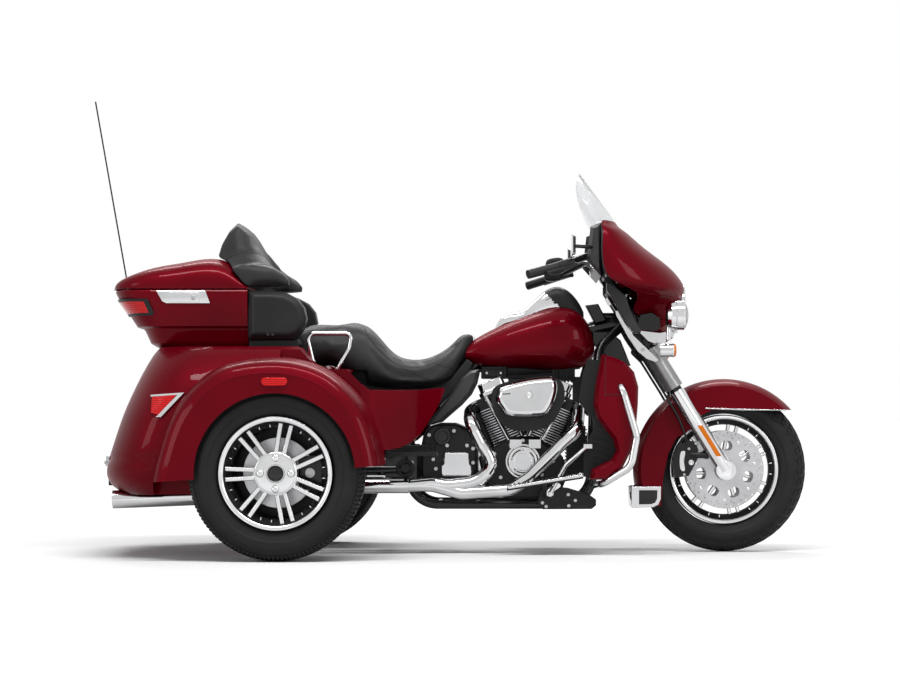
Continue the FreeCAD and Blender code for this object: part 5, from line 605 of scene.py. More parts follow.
frame_line = [(-1285, 966), (-1112, 966), (-1088, 913), (-1097, 904), (-1285, 902)]
glass_line = [(-1285, 956), (-1126, 956), (-1108, 914), (-1285, 908)]
make_piece("box_lamp_frames", both(on_box(frame_line, -2, 7)), black_plastic, "chassis",
           ["tour_box_lamps"], bevel=1.5)
make_piece("box_lamp_lenses", both(on_box(glass_line, 2, 8)), red_lens, "chassis", bevel=1)
latch_line = [(-1078, 996), (-894, 996), (-877, 950), (-1040, 950), (-1056, 957)]
latch_face = [(-1030, 989), (-916, 989), (-916, 953), (-1030, 953)]
lock_place, to_right = (-940, -297, 970), (0, -1, 0)
make_piece("latch_plate", on_box(latch_line, -2, 4), chrome, "chassis", bevel=1.5)
make_piece("latch_pull", on_box(latch_face, 1, 6.5), chrome, "chassis", bevel=1)
make_piece("latch_lock", joined(lathe(((0, 9), (5, 9), (6, 8), (6, 0)), lock_place, to_right, 40),
                                lathe(((0, 5.5), (8, 5.5), (9, 4.5), (9, 0)), lock_place, to_right, 32)),
           steel_satin, "chassis", bevel=0.4)

# Tyres: black rubber carcasses turned round the axle, with blocks of tread laid round the crown and
# over the shoulders. The front one is rounder for leaning; the rear ones are flatter and wider.
def spread_group():
    """Copies of one object on a mesh's points, each turned by the point's own angles."""
    group = bpy.data.node_groups.new("spread_copies", "GeometryNodeTree")
    for socket, kind in (("Points", "Geometry"), ("Copy", "Object"), ("Size", "Float"), ("Finish", "Material")):
        group.interface.new_socket(socket, in_out="INPUT", socket_type=f"NodeSocket{kind}")
    group.interface.new_socket("Copies", in_out="OUTPUT", socket_type="NodeSocketGeometry")
    start, end, source, turned, placing, made_real, painted = (group.nodes.new(kind) for kind in (
        "NodeGroupInput", "NodeGroupOutput", "GeometryNodeObjectInfo", "FunctionNodeEulerToRotation",
        "GeometryNodeInstanceOnPoints", "GeometryNodeRealizeInstances", "GeometryNodeSetMaterial"))
    turns = add_node(group.nodes, "GeometryNodeInputNamedAttribute", {"Name": "turn"}, data_type="FLOAT_VECTOR")
    join_up(group.links,
            (start.outputs["Copy"], source.inputs["Object"]), (start.outputs["Points"], placing.inputs["Points"]),
            (source.outputs["Geometry"], placing.inputs["Instance"]),
            (turns.outputs["Attribute"], turned.inputs["Euler"]),
            (turned.outputs["Rotation"], placing.inputs["Rotation"]),
            (start.outputs["Size"], placing.inputs["Scale"]),
            (placing.outputs["Instances"], made_real.inputs["Geometry"]),
            (made_real.outputs["Geometry"], painted.inputs["Geometry"]),
            (start.outputs["Finish"], painted.inputs["Material"]),
            (painted.outputs["Geometry"], end.inputs["Copies"]))
    return group


spreading = spread_group()


def spread(name, shape, places, material, body, smooth=32):
    """Copies of a shape at (point, turn) places in millimetres, as one piece."""
    copy_mesh = mesh_of("one_copy", shape)
    copy_mesh.polygons.foreach_set("use_smooth", [True] * len(copy_mesh.polygons))
    copy_mesh.set_sharp_from_angle(angle=math.radians(smooth))
    one_copy = bpy.data.objects.new("one_copy", copy_mesh)
    carrier_mesh = bpy.data.meshes.new("copy_places")
    carrier_mesh.from_pydata([tuple(point) for point, turn in places], [], [])
    turns = carrier_mesh.attributes.new("turn", "FLOAT_VECTOR", "POINT")
    for index, (point, turn) in enumerate(places):
        turns.data[index].vector = turn
    carrier = bpy.data.objects.new("copy_places", carrier_mesh)
    scene.collection.objects.link(carrier)
    step = carrier.modifiers.new("copies", "NODES")
    step.node_group = spreading
    sockets = {item.name: item.identifier for item in spreading.interface.items_tree if item.in_out == "INPUT"}
    for socket, value in (("Copy", one_copy), ("Size", 1.0), ("Finish", material)):
        step[sockets[socket]] = value
    mesh = bpy.data.meshes.new_from_object(carrier.evaluated_get(bpy.context.evaluated_depsgraph_get()))
    bpy.data.objects.remove(carrier)
    bpy.data.objects.remove(one_copy)
    mesh.name = name
    mesh.transform(Matrix.Scale(0.001, 4))
    made = bpy.data.objects.new(name, mesh)
    scene.collection.objects.link(made)
    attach(made, body)


def along_line(points, length):
    """Point at a length along an open line of (a, b) points, and beyond its end."""
    for before, after in zip(points, points[1:]):
        step = math.dist(before, after)
        if length <= step or after is points[-1]:
            share = length / step
            return tuple(a + (b - a) * share for a, b in zip(before, after))
        length -= step


def tread_block(profile, corners, depth, chamfer=0.8):
    """Block of tread on a tyre's skin from four (angle, distance from the crown) corners."""
    middle = [sum(corner[k] for corner in corners) / 4 for k in (0, 1)]
    rows = []
    for sink, shrink in ((depth, 0), (chamfer, 0), (0, 0.06)):
        ring = []
        for edge, steps in enumerate((5, 3, 5, 3)):
            (angle_a, reach_a), (angle_b, reach_b) = corners[edge], corners[(edge + 1) % 4]
            for step in range(steps):
                share = step / steps
                angle = angle_a + (angle_b - angle_a) * share
                reach = reach_a + (reach_b - reach_a) * share
                angle += (middle[0] - angle) * shrink
                reach += (middle[1] - reach) * shrink
                radius, out = along_line(profile, abs(reach))
                ahead_radius, ahead_out = along_line(profile, abs(reach) + 1)
                normal = Vector((ahead_out - out, -(ahead_radius - radius))).normalized()
                radius, out = radius - normal.x * sink, (out - normal.y * sink) * (1 if reach >= 0 else -1)
                turn = math.radians(angle)
                ring.append((radius * math.sin(turn), out, radius * math.cos(turn)))
        rows.append(ring)
    return skin(rows)


def tread_pitch(profile, blocks, depth, lag=0):
    """One length of tread: blocks on both sides, the right ones a few degrees behind."""
    return joined(*[tread_block(profile, [(angle + (lag if side < 0 else 0), reach * side)
                                          for angle, reach in corners], depth)
                    for side in (-1, 1) for corners in blocks])


def tyre_shape(profile, tread_edge, depth, centre):
    """Carcass, its outer profile sunk by the tread's depth up to its edge, closed on the inside."""
    half = []
    for index, (radius, out) in enumerate(profile):
        ahead = profile[min(index + 1, len(profile) - 1)]
        back = profile[max(index - 1, 0)]
        normal = Vector((ahead[1] - back[1], -(ahead[0] - back[0]))).normalized()
        sink = depth if out < tread_edge else 0
        half.append((out - normal.y * sink, radius - normal.x * sink))
    return lathe(half + [(-out, radius) for out, radius in reversed(half[1:])], centre, (0, 1, 0), 128, closed=True)


def rubber(name, dark, light, grain):
    """Matt rubber with a fine grain."""
    material, nodes, links, shader = new_material(name)
    masks = add_node(nodes, "ShaderNodeGroup", {"Broad Scale": 9, "Fine Scale": grain}, node_tree=unevenness)
    coloured(nodes, links, shader, masks.outputs["Broad"], dark, light)
    embossed(nodes, links, shader, masks.outputs["Fine"], 0.25, 0.0006)
    set_inputs(shader, {"Roughness": 0.62, "Specular IOR Level": 0.15})
    return material


tyre_rubber = rubber("tyre_rubber", (0.008, 0.008, 0.0083), (0.02, 0.02, 0.0205), 700)
front_axle = (1076, 0, 318)
half_track = 569.5
front_profile = flow([(317.6, 0), (314, 22), (303, 41), (287, 55.5), (268, 63), (250, 64.5), (232, 60), (219, 53),
                      (212, 46)], 4)
rear_profile = flow([(319.6, 0), (319, 40), (316.5, 68), (309, 86), (295, 96.5), (272, 101.8), (250, 101), (228, 95),
                     (212, 88), (205, 80)], 4)
make_piece("front_tyre_carcass", tyre_shape(front_profile, 62, 4, front_axle), tyre_rubber, "front_wheel",
           ["front_tyre"], smooth=50)
front_blocks = (((0.6, 2), (3.2, 20), (7.0, 20), (5.0, 2)), ((3.6, 24), (5.2, 46), (9.2, 46), (7.4, 24)),
                ((5.8, 50), (6.4, 68), (9.6, 68), (9.0, 50)))
spread("front_tread", tread_pitch(front_profile, front_blocks, 5, 4),
       [(front_axle, (0, math.radians(k * 8), 0)) for k in range(45)], tyre_rubber, "front_wheel")
rear_blocks = [((0, 4), (1.4, 26), (6.1, 26), (4.7, 4))] + [
    [(start + angle, reach) for angle, reach in block] for start in (0, 3)
    for block in (((0, 31), (0.6, 58), (2.5, 58), (1.9, 31)), ((0.5, 63), (0.7, 101), (2.4, 101), (2.3, 63)))]
rear_pitch = tread_pitch(rear_profile, rear_blocks, 7)
for side_name, across in (("right", -half_track), ("left", half_track)):
    centre = (rear_axle_x, across, rear_axle_z)
    make_piece(f"rear_tyre_{side_name}_carcass", tyre_shape(rear_profile, 100, 6, centre), tyre_rubber,
               f"rear_wheel_{side_name}", [f"rear_tyre_{side_name}"], smooth=50)
    spread(f"rear_tread_{side_name}", rear_pitch, [(centre, (0, math.radians(k * 6), 0)) for k in range(60)],
           tyre_rubber, f"rear_wheel_{side_name}")


# Wheels: cast aluminium rims with seven pairs of bars, polished faces over a black barrel. The hub
# plates hold four bolts and a plain round cap.
def dressed(name, nodes, material, body, bevel=0, smooth=32, tints=(), segments=2):
    """CAD pieces' own form as one finished piece: flat faces joined up, edges broken, some faces tinted."""
    work = bmesh.new()
    for node in nodes:
        work.from_mesh(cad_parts[node].data)
    bmesh.ops.remove_doubles(work, verts=work.verts, dist=0.00001)
    bmesh.ops.dissolve_limit(work, angle_limit=math.radians(0.5), verts=work.verts, edges=work.edges)
    bmesh.ops.recalc_face_normals(work, faces=work.faces)
    mesh = bpy.data.meshes.new(name)
    work.to_mesh(mesh)
    work.free()
    show(name, mesh, material, body, nodes, smooth, bevel, segments, tints)


def bolt(radius, height, socket=0.55):
    """Cap screw standing on its face, with a six-sided socket, looking along +Z."""
    rows = []
    for z, reach, six_sided in ((-1, 1.0, False), (0, 1.0, False), (height * 0.8, 1.0, False), (height, 0.86, False),
                                (height, socket, True), (height * 0.45, socket, True), (height * 0.45, 0, True)):
        ring = []
        for k in range(24):
            angle = math.tau * k / 24
            flat = math.cos(math.radians(30)) / math.cos((angle % math.radians(60)) - math.radians(30))
            out = radius * reach * (flat if six_sided else 1)
            ring.append((out * math.cos(angle), out * math.sin(angle), z))
        rows.append(ring)
    return skin(rows)


def facing(direction):
    """Turn that points +Z of a copy along a direction."""
    return tuple(Vector(direction).to_track_quat("Z", "X").to_euler())


def around(centre, radius, count, first, side):
    """Places on an upright circle about the y axis, at even angles from the first, facing one side."""
    angles = [math.radians(first) + math.tau * k / count for k in range(count)]
    return [((centre[0] + radius * math.cos(angle), centre[1], centre[2] + radius * math.sin(angle)),
             facing((0, side, 0))) for angle in angles]


polished = finish("polished_aluminium", (0.6, 0.605, 0.61), (0.72, 0.72, 0.73), 1.0, 0.12, 0.2, 8, 240)
barrel_black = finish("barrel_black", (0.008, 0.008, 0.009), (0.018, 0.018, 0.019), 0.0, 0.25, 0.4, 7, 500, 0.1)
gloss_black = finish("gloss_black", (0.006, 0.006, 0.0065), (0.012, 0.012, 0.013), 0.0, 0.1, 0.2, 5, 300,
                     specular=0.35)


def turned_about(shape, centre, angle):
    """The shape, made about the origin, turned in side view and moved to a centre."""
    c, s = math.cos(math.radians(angle)), math.sin(math.radians(angle))
    return [(centre[0] + x * c + z * s, centre[1] + y, centre[2] + z * c - x * s) for x, y, z in shape[0]], shape[1]


def spoke_pair(hub, rim, near_gap, far_gap, width, faces):
    """Two bars that spread a little towards the rim, with a web between their feet."""
    front, back = faces
    turn = 1 if front < back else -1
    parts = []
    for side in (-1, 1):
        line = [(side * (near_gap - width / 2), hub), (side * (far_gap - width / 2), rim),
                (side * (far_gap + width / 2), rim), (side * (near_gap + width / 2), hub)]
        parts.append(slab(line, ((front, 2.2), (front + turn * 2.2, 0), (back, 0))))
    web = [(-near_gap, hub - 4), (-near_gap, hub + 16), (-near_gap * 0.45, hub + 7), (near_gap * 0.45, hub + 7),
           (near_gap, hub + 16), (near_gap, hub - 4)]
    return joined(*parts, slab(web, ((front + turn * 3, 0), (back, 0))))


def cast_wheel(name, centre, body, node, rim_profile, barrel, lean, spokes, hub_profile, side):
    """Rim, seven pairs of spokes and hub of one cast wheel, with ticks of bare metal on the barrel."""
    low, high = barrel
    pitch = 360 / 7
    spoke_angle = 12

    def painted_black(point, normal):
        """On the barrel, or behind it and turned away."""
        reach = math.hypot(point.x - centre[0], point.z - centre[2])
        on_barrel = low - 1 < reach < high and abs(normal.y) < 0.86
        return on_barrel or (80 < reach < low - 1 and abs(normal.y) < 0.55)

    pairs = [turned_about(spoke_pair(*spokes), centre, spoke_angle + pitch * k) for k in range(7)]
    make_piece(name, joined(lathe(rim_profile, centre, (0, 1, 0), 144, closed=True), *pairs,
                            lathe(hub_profile, centre, (0, side, 0), 96)),
               polished, body, [node], smooth=38, bevel=0.8, tints=((barrel_black, painted_black),))
    tick = box_shape((-1.6, lean[0], (low + high) / 2 - 7), (1.6, lean[1], (low + high) / 2 + 7))
    ticks = [turned_about(tick, centre, spoke_angle + pitch * (k + 0.5) + offset)
             for k in range(7) for offset in (-6.5, 6.5)]
    make_piece(f"{name}_ticks", joined(*ticks), polished, body, bevel=0.5)


for side_name, side in (("right", -1), ("left", 1)):
    centre, facing_out = (rear_axle_x, side * half_track, rear_axle_z), (0, side, 0)
    body = f"rear_wheel_{side_name}"
    profile = [(side * along, radius) for along, radius in (
        (84, 203), (90, 206), (95.5, 205), (96.5, 201), (95, 195), (91, 189), (84, 185), (40, 165), (-60, 163),
        (-88, 186), (-95, 204), (-90, 206), (-84, 198), (-56, 175), (36, 177), (70, 190))]
    low, high = (coordinate * 1000 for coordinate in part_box(f"rear_rim_{side_name}"))
    hub_out = abs((low if side < 0 else high).y - side * half_track)
    hub_profile = ((30, 0), (30, 78), (hub_out - 12, 78), (hub_out - 10, 76), (hub_out - 9.4, 74.5),
                   (hub_out - 9, 34), (hub_out - 10, 33), (hub_out - 10, 0))
    cast_wheel(f"rear_wheel_{side_name}_casting", centre, body, f"rear_rim_{side_name}", profile, (163, 188),
               (side * 52, side * 66), (74, 183, 14.5, 19.6, 16, (side * (hub_out - 14), side * (hub_out - 40))),
               hub_profile, side)
    hub_face = (centre[0], centre[1] + side * (hub_out - 9.2), centre[2])
    plate_ring = lathe(((-2, 70), (0.6, 70.6), (0.6, 72.4), (-2, 73)), hub_face, facing_out, 96, closed=True)
    make_piece(f"rear_plate_ring_{side_name}", plate_ring, steel_satin, body)
    dome = lathe(((-1, 14), (2, 14), (6, 12.4), (8.6, 8), (9.4, 0)), (0, 0, 0), (0, 0, 1), 32)
    spread(f"rear_nut_caps_{side_name}", dome, around(hub_face, 56, 4, 0, side), polished, body,
           smooth=60)
    cap = joined(lathe(((-2, 24), (5, 24), (7, 26), (7, 28), (5, 29.5), (-2, 30)), hub_face, facing_out, 72,
                       closed=True),
                 lathe(((-1, 25), (4, 25), (6, 20), (7, 10), (7.2, 0)), hub_face, facing_out, 64))
    make_piece(f"rear_hub_cap_{side_name}", cap, gloss_black, body, bevel=0.5)
    brake = lathe(((-22, 40), (-22, 128), (-28, 129), (-28, 40)), centre, facing_out, 96, closed=True)
    make_piece(f"rear_brake_disc_{side_name}", brake, steel_satin, body, bevel=0.5)
    house = lathe(((0, 70), (0, 286), (4, 286), (4, 70)), (centre[0], side * 453, centre[2]), facing_out, 96,
                  closed=True)
    make_piece(f"wheel_house_{side_name}", house, barrel_black, "chassis", bevel=0.8)
    hit, spot, normal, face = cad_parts["rear_axle"].ray_cast(Vector((-0.478, side * 0.9, 0.32)),
                                                                   Vector((0, -side, 0)))
    if hit:
        puck = lathe(((-2, 19), (2, 19), (3.6, 17.4), (3.6, 11), (2.6, 10), (2.6, 0)), spot * 1000, facing_out, 48)
        make_piece(f"rear_caliper_piston_{side_name}", puck, steel_satin, "chassis", bevel=0.4)
cover(gloss_black, "rear_axle")

front_rim_half = [(8, 173), (22, 176), (33, 190), (39, 194), (43, 200), (43, 208), (40, 212), (35, 210), (30, 200),
                  (12, 186)]
front_rim_ring = front_rim_half + [(-along, radius) for along, radius in reversed(front_rim_half)]
front_hub = ((-70, 0), (-70, 30), (-66, 34), (-60, 44), (-36, 48), (-30, 66), (30, 66), (36, 48), (60, 44),
             (66, 34), (70, 30), (70, 0))
cast_wheel("front_wheel_casting", front_axle, "front_wheel", "front_rim", front_rim_ring, (173, 193), (-30, -22),
           (60, 176, 12, 17, 13, (-15, 15)), front_hub, 1)

# Frame: welded steel tube under gloss black paint. Moulded side covers in dark satin plastic are
# pushed into rubber sockets on its rails below the seat.
dark_satin = finish("dark_satin", (0.022, 0.022, 0.023), (0.038, 0.038, 0.04), 0.0, 0.34, 0.46, 5, 1200, 0.12)
cover(gloss_black, "frame")
cover(dark_satin, "side_covers")

# Cylinders: black cast barrels with fins whose outer edges are machined bright. Two-tier chrome
# rocker covers stand on their heads, each held by small screws.
crank_x, crank_z = 308, 329
powder_black = finish("powder_black", (0.009, 0.009, 0.0095), (0.02, 0.02, 0.021), 0.1, 0.28, 0.42, 6, 800, 0.15)
machined = finish("machined_edge", (0.4, 0.4, 0.41), (0.54, 0.54, 0.55), 1.0, 0.24, 0.36, 9, 600, 0.1)


def fin_edge(axis):
    """Test for the outer edges of a leaned cylinder's fins."""
    def test(point, normal):
        reach = point - Vector((crank_x, 0, crank_z))
        out = reach - axis * reach.dot(axis)
        on_flank = out.length > 76.5 and abs(normal.y) > 0.86
        return on_flank and normal.dot(out) > 0.75 * out.length and reach.dot(axis) < 266
    return test


rocker_screws = []
for node, lean in (("cylinder_rear", -22.5), ("cylinder_front", 22.5)):
    axis = Vector((math.sin(math.radians(lean)), 0, math.cos(math.radians(lean))))
    along = Vector((axis.z, 0, -axis.x))
    dressed(f"{node}_casting", [node], powder_black, "chassis", bevel=0.5, segments=1,
            tints=((machined, fin_edge(axis)),))
    barrel = lathe(((112, 66), (118, 73), (268, 73), (274, 66)), (crank_x, 0, crank_z), axis, 72)
    make_piece(f"{node}_barrel", barrel, powder_black, "chassis", bevel=1)
    rocker_screws += [(Vector((crank_x, across, crank_z)) + axis * 356 + along * share, facing(axis))
                      for share in (-40, 0, 40) for across in (-64, 64)]
dressed("rocker_boxes", ["rocker_covers"], chrome, "chassis", bevel=4, segments=3)
spread("rocker_screws", bolt(5, 4), rocker_screws, steel_satin, "chassis")


# Crankcase and gearbox: black castings split into bolted covers. The cam cover is a chrome disc with
# turned rings and five screws, and the gearbox wears a two-tier chrome cover on its right side.
def facing_out(points, sides=(-1, 1)):
    """Places at (x, distance from the middle, z) points on the given sides, facing outwards."""
    return [((x, side * out, z), facing((0, side, 0))) for side in sides for x, out, z in points]


dressed("engine_case", ["crankcase"], powder_black, "chassis", bevel=3)
dressed("gearbox_case", ["gearbox"], powder_black, "chassis", bevel=3)
dressed("polished_covers", ["engine_covers"], chrome, "chassis", bevel=2.4, segments=3)
dressed("primary_case", ["primary_cover"], chrome, "chassis", bevel=2)
dressed("pushrod_set", ["pushrod_tubes"], chrome, "chassis", bevel=1.2)
cam_centre = (299, -158, 352)
cam_rings = [lathe(((-2, radius - 3), (1.2, radius - 2), (1.8, radius), (1.2, radius + 2), (-2, radius + 3)),
                   cam_centre, to_right, 72, closed=True) for radius in (52, 34)]
make_piece("cam_cover_rings", joined(*cam_rings), polished, "chassis", smooth=50)
# Three thin black arcs laid on the cover's face between its rings are painted shadow.
cam_shadow_arcs = []
for start in (100, 220, 340):
    there, back = range(start, start + 73, 6), range(start + 72, start - 1, -6)
    arc = [(cam_centre[0] + reach * math.cos(angle), cam_centre[2] + reach * math.sin(angle))
           for reach, angles in ((46, there), (41, back)) for angle in (math.radians(k) for k in angles)]
    cam_shadow_arcs.append(slab(arc, ((-157, 0), (-158.6, 0))))
make_piece("cam_cover_shadow", joined(*cam_shadow_arcs), powder_black, "chassis")
case_bolts = (
    (-124, 155, 348), (-44, 118, 359), (-34, 118, 323), (9, 118, 412), (85, 118, 412), (108, 118, 346),
    (-60, 118, 452), (35, 118, 468), (108, 118, 400), (252, 112, 414), (299, 112, 431), (348, 112, 408),
    (214, 112, 290), (372, 112, 300), (414, 112, 352), (190, 112, 380),
)
spread("case_bolts", bolt(7.5, 7), facing_out(case_bolts, (-1,)), steel_satin, "chassis")
spread("cam_screws", bolt(4.2, 3), around(cam_centre, 43.5, 5, 90, -1), steel_satin, "chassis")
gearbox_cap = lathe(((0, 34), (6, 34), (9, 31), (9, 22), (6, 20), (6, 0)), (-9, -116, 447), to_right, 56)
make_piece("gearbox_cap", gearbox_cap, gloss_black, "chassis", bevel=0.8)


def tube(points, radius, sides=14, steps=5):
    """Round tube along a smooth path through points."""
    path = flow(points, steps) if steps > 1 else [tuple(point) for point in points]
    rows = []
    up = None
    for index, point in enumerate(path):
        way = (Vector(path[min(index + 1, len(path) - 1)]) - Vector(path[max(index - 1, 0)])).normalized()
        up = way.orthogonal().normalized() if up is None else (up - way * up.dot(way)).normalized()
        side = way.cross(up)
        turns = [(math.cos(math.tau * k / sides), math.sin(math.tau * k / sides)) for k in range(sides)]
        rows.append([tuple(Vector(point) + (up * c + side * s) * radius) for c, s in turns])
    return skin(rows)


rib_shares = ((0.03, 0.54), (0.07, 0.79), (0.17, 0.93), (0.34, 0.98), (0.62, 0.98), (0.83, 0.90), (0.97, 0.79))
rib = tube([(x, -118, z) for x, z in placed(rib_shares, (-94, 262), 216, 236)], 3, 10)
make_piece("gearbox_rib", rib, powder_black, "chassis")
pivot_cover = [box_shape((-218, -166, 384 + 8 * k), (-40, -112, 389 + 8 * k)) for k in range(4)]
pivot_cover.append(box_shape((-218, -158, 380), (-40, -110, 414)))
make_piece("pivot_cover", joined(*pivot_cover), powder_black, "chassis", bevel=1.5)
pivot_place = (-149, -155, 327)
pivot_boss = joined(
    lathe(((-6, 24), (10, 24), (14, 26), (14, 32), (10, 35), (-6, 36)), pivot_place, to_right, 64, closed=True),
    lathe(((-4, 20), (6, 20), (9, 17), (9, 0)), pivot_place, to_right, 48))
make_piece("pivot_boss", pivot_boss, powder_black, "chassis", bevel=0.8)

# Air cleaner: a pressed chrome cover over a black cast backing, bolted to the cylinder heads. It has
# a raised face with a plain round disc and two slots.
dressed("air_cleaner", ["air_cleaner_cover"], chrome, "chassis", bevel=3, segments=3)
dressed("air_cleaner_backing", ["air_cleaner_back"], powder_black, "chassis", bevel=3)
disc_place = (322, -267.5, 606)
disc = joined(lathe(((-4, 14), (1.6, 14), (2.6, 13), (2.6, 10.5), (1.8, 10), (1.8, 0)), disc_place, to_right, 48),
              lathe(((0, 7), (2.6, 7), (3.2, 6), (3.2, 0)), disc_place, to_right, 32))
make_piece("air_cleaner_disc", disc, polished, "chassis")
slots = [slab(line, ((-262, 0), (-268.6, 0))) for line in ([(334, 534), (398, 536), (396, 531), (334, 529)],
                                                           [(222, 610), (252, 612), (252, 608), (222, 606)])]
make_piece("air_cleaner_slots", joined(*slots), powder_black, "chassis", bevel=0.5)

# Exhaust: two headers of bent, chromed steel tube run into one collector low on the right. A cross
# pipe feeds the left muffler, and clamps hold the joints.
cover(chrome, "exhaust")

# Front brakes: drilled steel discs with seven windows, riveted to the wheel's hub. Black cast calipers
# on the fork grip them from behind, and short lines feed the calipers.
disc_ring = lathe(((-2.5, 40), (-2.5, 149), (-2, 149.6), (2, 149.6), (2.5, 149), (2.5, 40)), (0, 0, 0), (0, 1, 0),
                  120, closed=True)
holes = []
for reach, count, first in ((142, 28, 0), (133, 28, 6.4), (124, 14, 3)):
    for angle in (math.radians(first + 360 / count * k) for k in range(count)):
        x, z = reach * math.cos(angle), reach * math.sin(angle)
        holes.append(bar((x, -9, z), (x, 9, z), 2.6, 10))
window_line = [(-19, 80), (-22, 92), (-16, 108), (0, 112), (16, 108), (22, 92), (19, 80), (0, 74)]
window = slab(window_line, ((-9, 0), (9, 0)), 3)
windows = [turned_about(window, (0, 0, 0), 360 / 7 * k) for k in range(7)]
drilled_disc = carved(disc_ring, [joined(*holes), joined(*windows)])
axle_x, axle_z = front_axle[0], front_axle[2]
for side_name, side in (("right", -1), ("left", 1)):
    make_piece(f"front_brake_disc_{side_name}", turned_about(drilled_disc, (axle_x, side * 78, axle_z), 4),
               steel_satin, "front_wheel", [f"front_disc_{side_name}"], smooth=30)
    spread(f"front_disc_rivets_{side_name}", bolt(6, 3), around((axle_x, side * 81, axle_z), 116, 7, 12, side),
           polished, "front_wheel")
dressed("front_caliper_castings", ["front_calipers"], powder_black, "steering", bevel=4, segments=3)
cover(powder_black, "brake_lines")
caliper_out = 101
piston = lathe(((-2, 11), (2, 11), (3.4, 9.6), (3.4, 6), (2.4, 5.4), (2.4, 0)), (0, 0, 0), (0, 0, 1), 40)
spread("caliper_pistons", piston, facing_out([(945, caliper_out, 347)]), polished, "steering")
caliper_bolts = [(x, caliper_out, z) for x, z in ((936, 399), (918, 300), (962, 420), (975, 385))]
spread("caliper_bolts", bolt(5.5, 5), facing_out(caliper_bolts), steel_satin, "steering")
grip_line = [(905, 386), (900, 352), (905, 318), (921, 316), (917, 352), (922, 388)]
make_piece("caliper_windows", both(slab(grip_line, ((-100, 0), (-102.4, 0)), 3)), polished, "steering",
           bevel=0.8)

# Fork: bright turned sliders under smooth grey sleeves, held by black forged clamps. Covers with a
# chrome strip close the gap to the fairing, and each slider has an amber reflector.
dressed("fork_sliders", ["fork_legs"], polished, "steering", bevel=0.8, smooth=40,
        tints=((gloss_black, lambda point, normal: point.z > 790),))
sleeve_grey = finish("sleeve_grey", (0.26, 0.26, 0.265), (0.34, 0.34, 0.345), 0.8, 0.3, 0.4, 8, 500)
dressed("fork_sleeves", ["fork_covers"], sleeve_grey, "steering", bevel=1.6, smooth=40)
dressed("triple_clamps", ["fork_clamps"], gloss_black, "steering", bevel=3, segments=3)
neck_line = [(596, 1078), (618, 1084), (654, 1020), (742, 846), (762, 804), (782, 752), (766, 736), (738, 770),
             (694, 850)]
make_piece("neck_covers", both(slab(neck_line, ((-150, 0), (-158, 0), (-160.5, 3)))), black_plastic, "steering",
           bevel=2)
strip_line = [(650, 926), (664, 930), (676, 918), (722, 832), (748, 806), (792, 764), (816, 740), (806, 730),
              (770, 742), (736, 770), (700, 824), (654, 908)]
make_piece("neck_strips", both(slab(strip_line, ((-158, 0), (-163, 0), (-164.5, 1.5)))), chrome, "steering",
           bevel=1)
spread("neck_bolts", bolt(7, 4), facing_out([(756, 163, 778)]), steel_satin, "steering")
amber_lens = lens("amber_lens", (0.5, 0.1, 0.0), (0.75, 0.2, 0.0), 60)
reflector_line = [(964, 489), (984, 490), (1057, 372), (1037, 371)]
make_piece("fork_reflectors", both(slab(reflector_line, ((-147, 0), (-153, 0), (-154.5, 1.5)))), amber_lens,
           "steering", bevel=0.8)

# Front fender: a pressed, painted shell close over the tyre. Its chrome trim is riveted on: a strip
# along the skirt, and a bowed flap behind with side flaps that hold grey insets.
cover(red_paint, "front_fender")
strip_line = [(1000, 557), (1140, 553), (1310, 549), (1310, 545), (1140, 546), (1000, 552)]
make_piece("front_fender_strips", both(slab(strip_line, ((-82, 0), (-88, 0), (-89.5, 1.2)))), chrome, "steering",
           bevel=0.6)
flap_rows = []
for across in range(-8, 9):
    y = across * 11
    bow = (abs(across) / 8) ** 3 * 30
    flap_rows.append([(712 + bow, y, 176), (708 + bow, y, 252), (703 + bow, y, 252), (707 + bow, y, 176)])
make_piece("front_fender_flap", skin(flap_rows), chrome, "steering", bevel=1)
flap_line = [(716, 254), (830, 254), (829, 206), (820, 184), (800, 174), (716, 172)]
make_piece("front_fender_side_flaps", both(slab(flap_line, ((-86, 0), (-90, 0), (-91.5, 1.5)))), chrome, "steering",
           bevel=0.8)
inset_line = [(745, 240), (816, 240), (815, 208), (807, 192), (792, 186), (745, 185)]
make_piece("front_fender_insets", both(slab(inset_line, ((-90, 0), (-92.4, 0)))), dark_satin, "steering",
           bevel=0.8)

# Seat and backrest: foam pads under grained black vinyl, sewn in panels. Each pad swells a little
# between its seams, and lies flat on its pan or shell.
leather = finish("grained_vinyl", (0.011, 0.011, 0.012), (0.026, 0.026, 0.027), 0.0, 0.4, 0.55, 5, 700, 0.4, 0.0006)
stitched_edge = finish("seam_piping", (0.008, 0.008, 0.0085), (0.018, 0.018, 0.019), 0.0, 0.45, 0.6, 9, 900, 0.3)


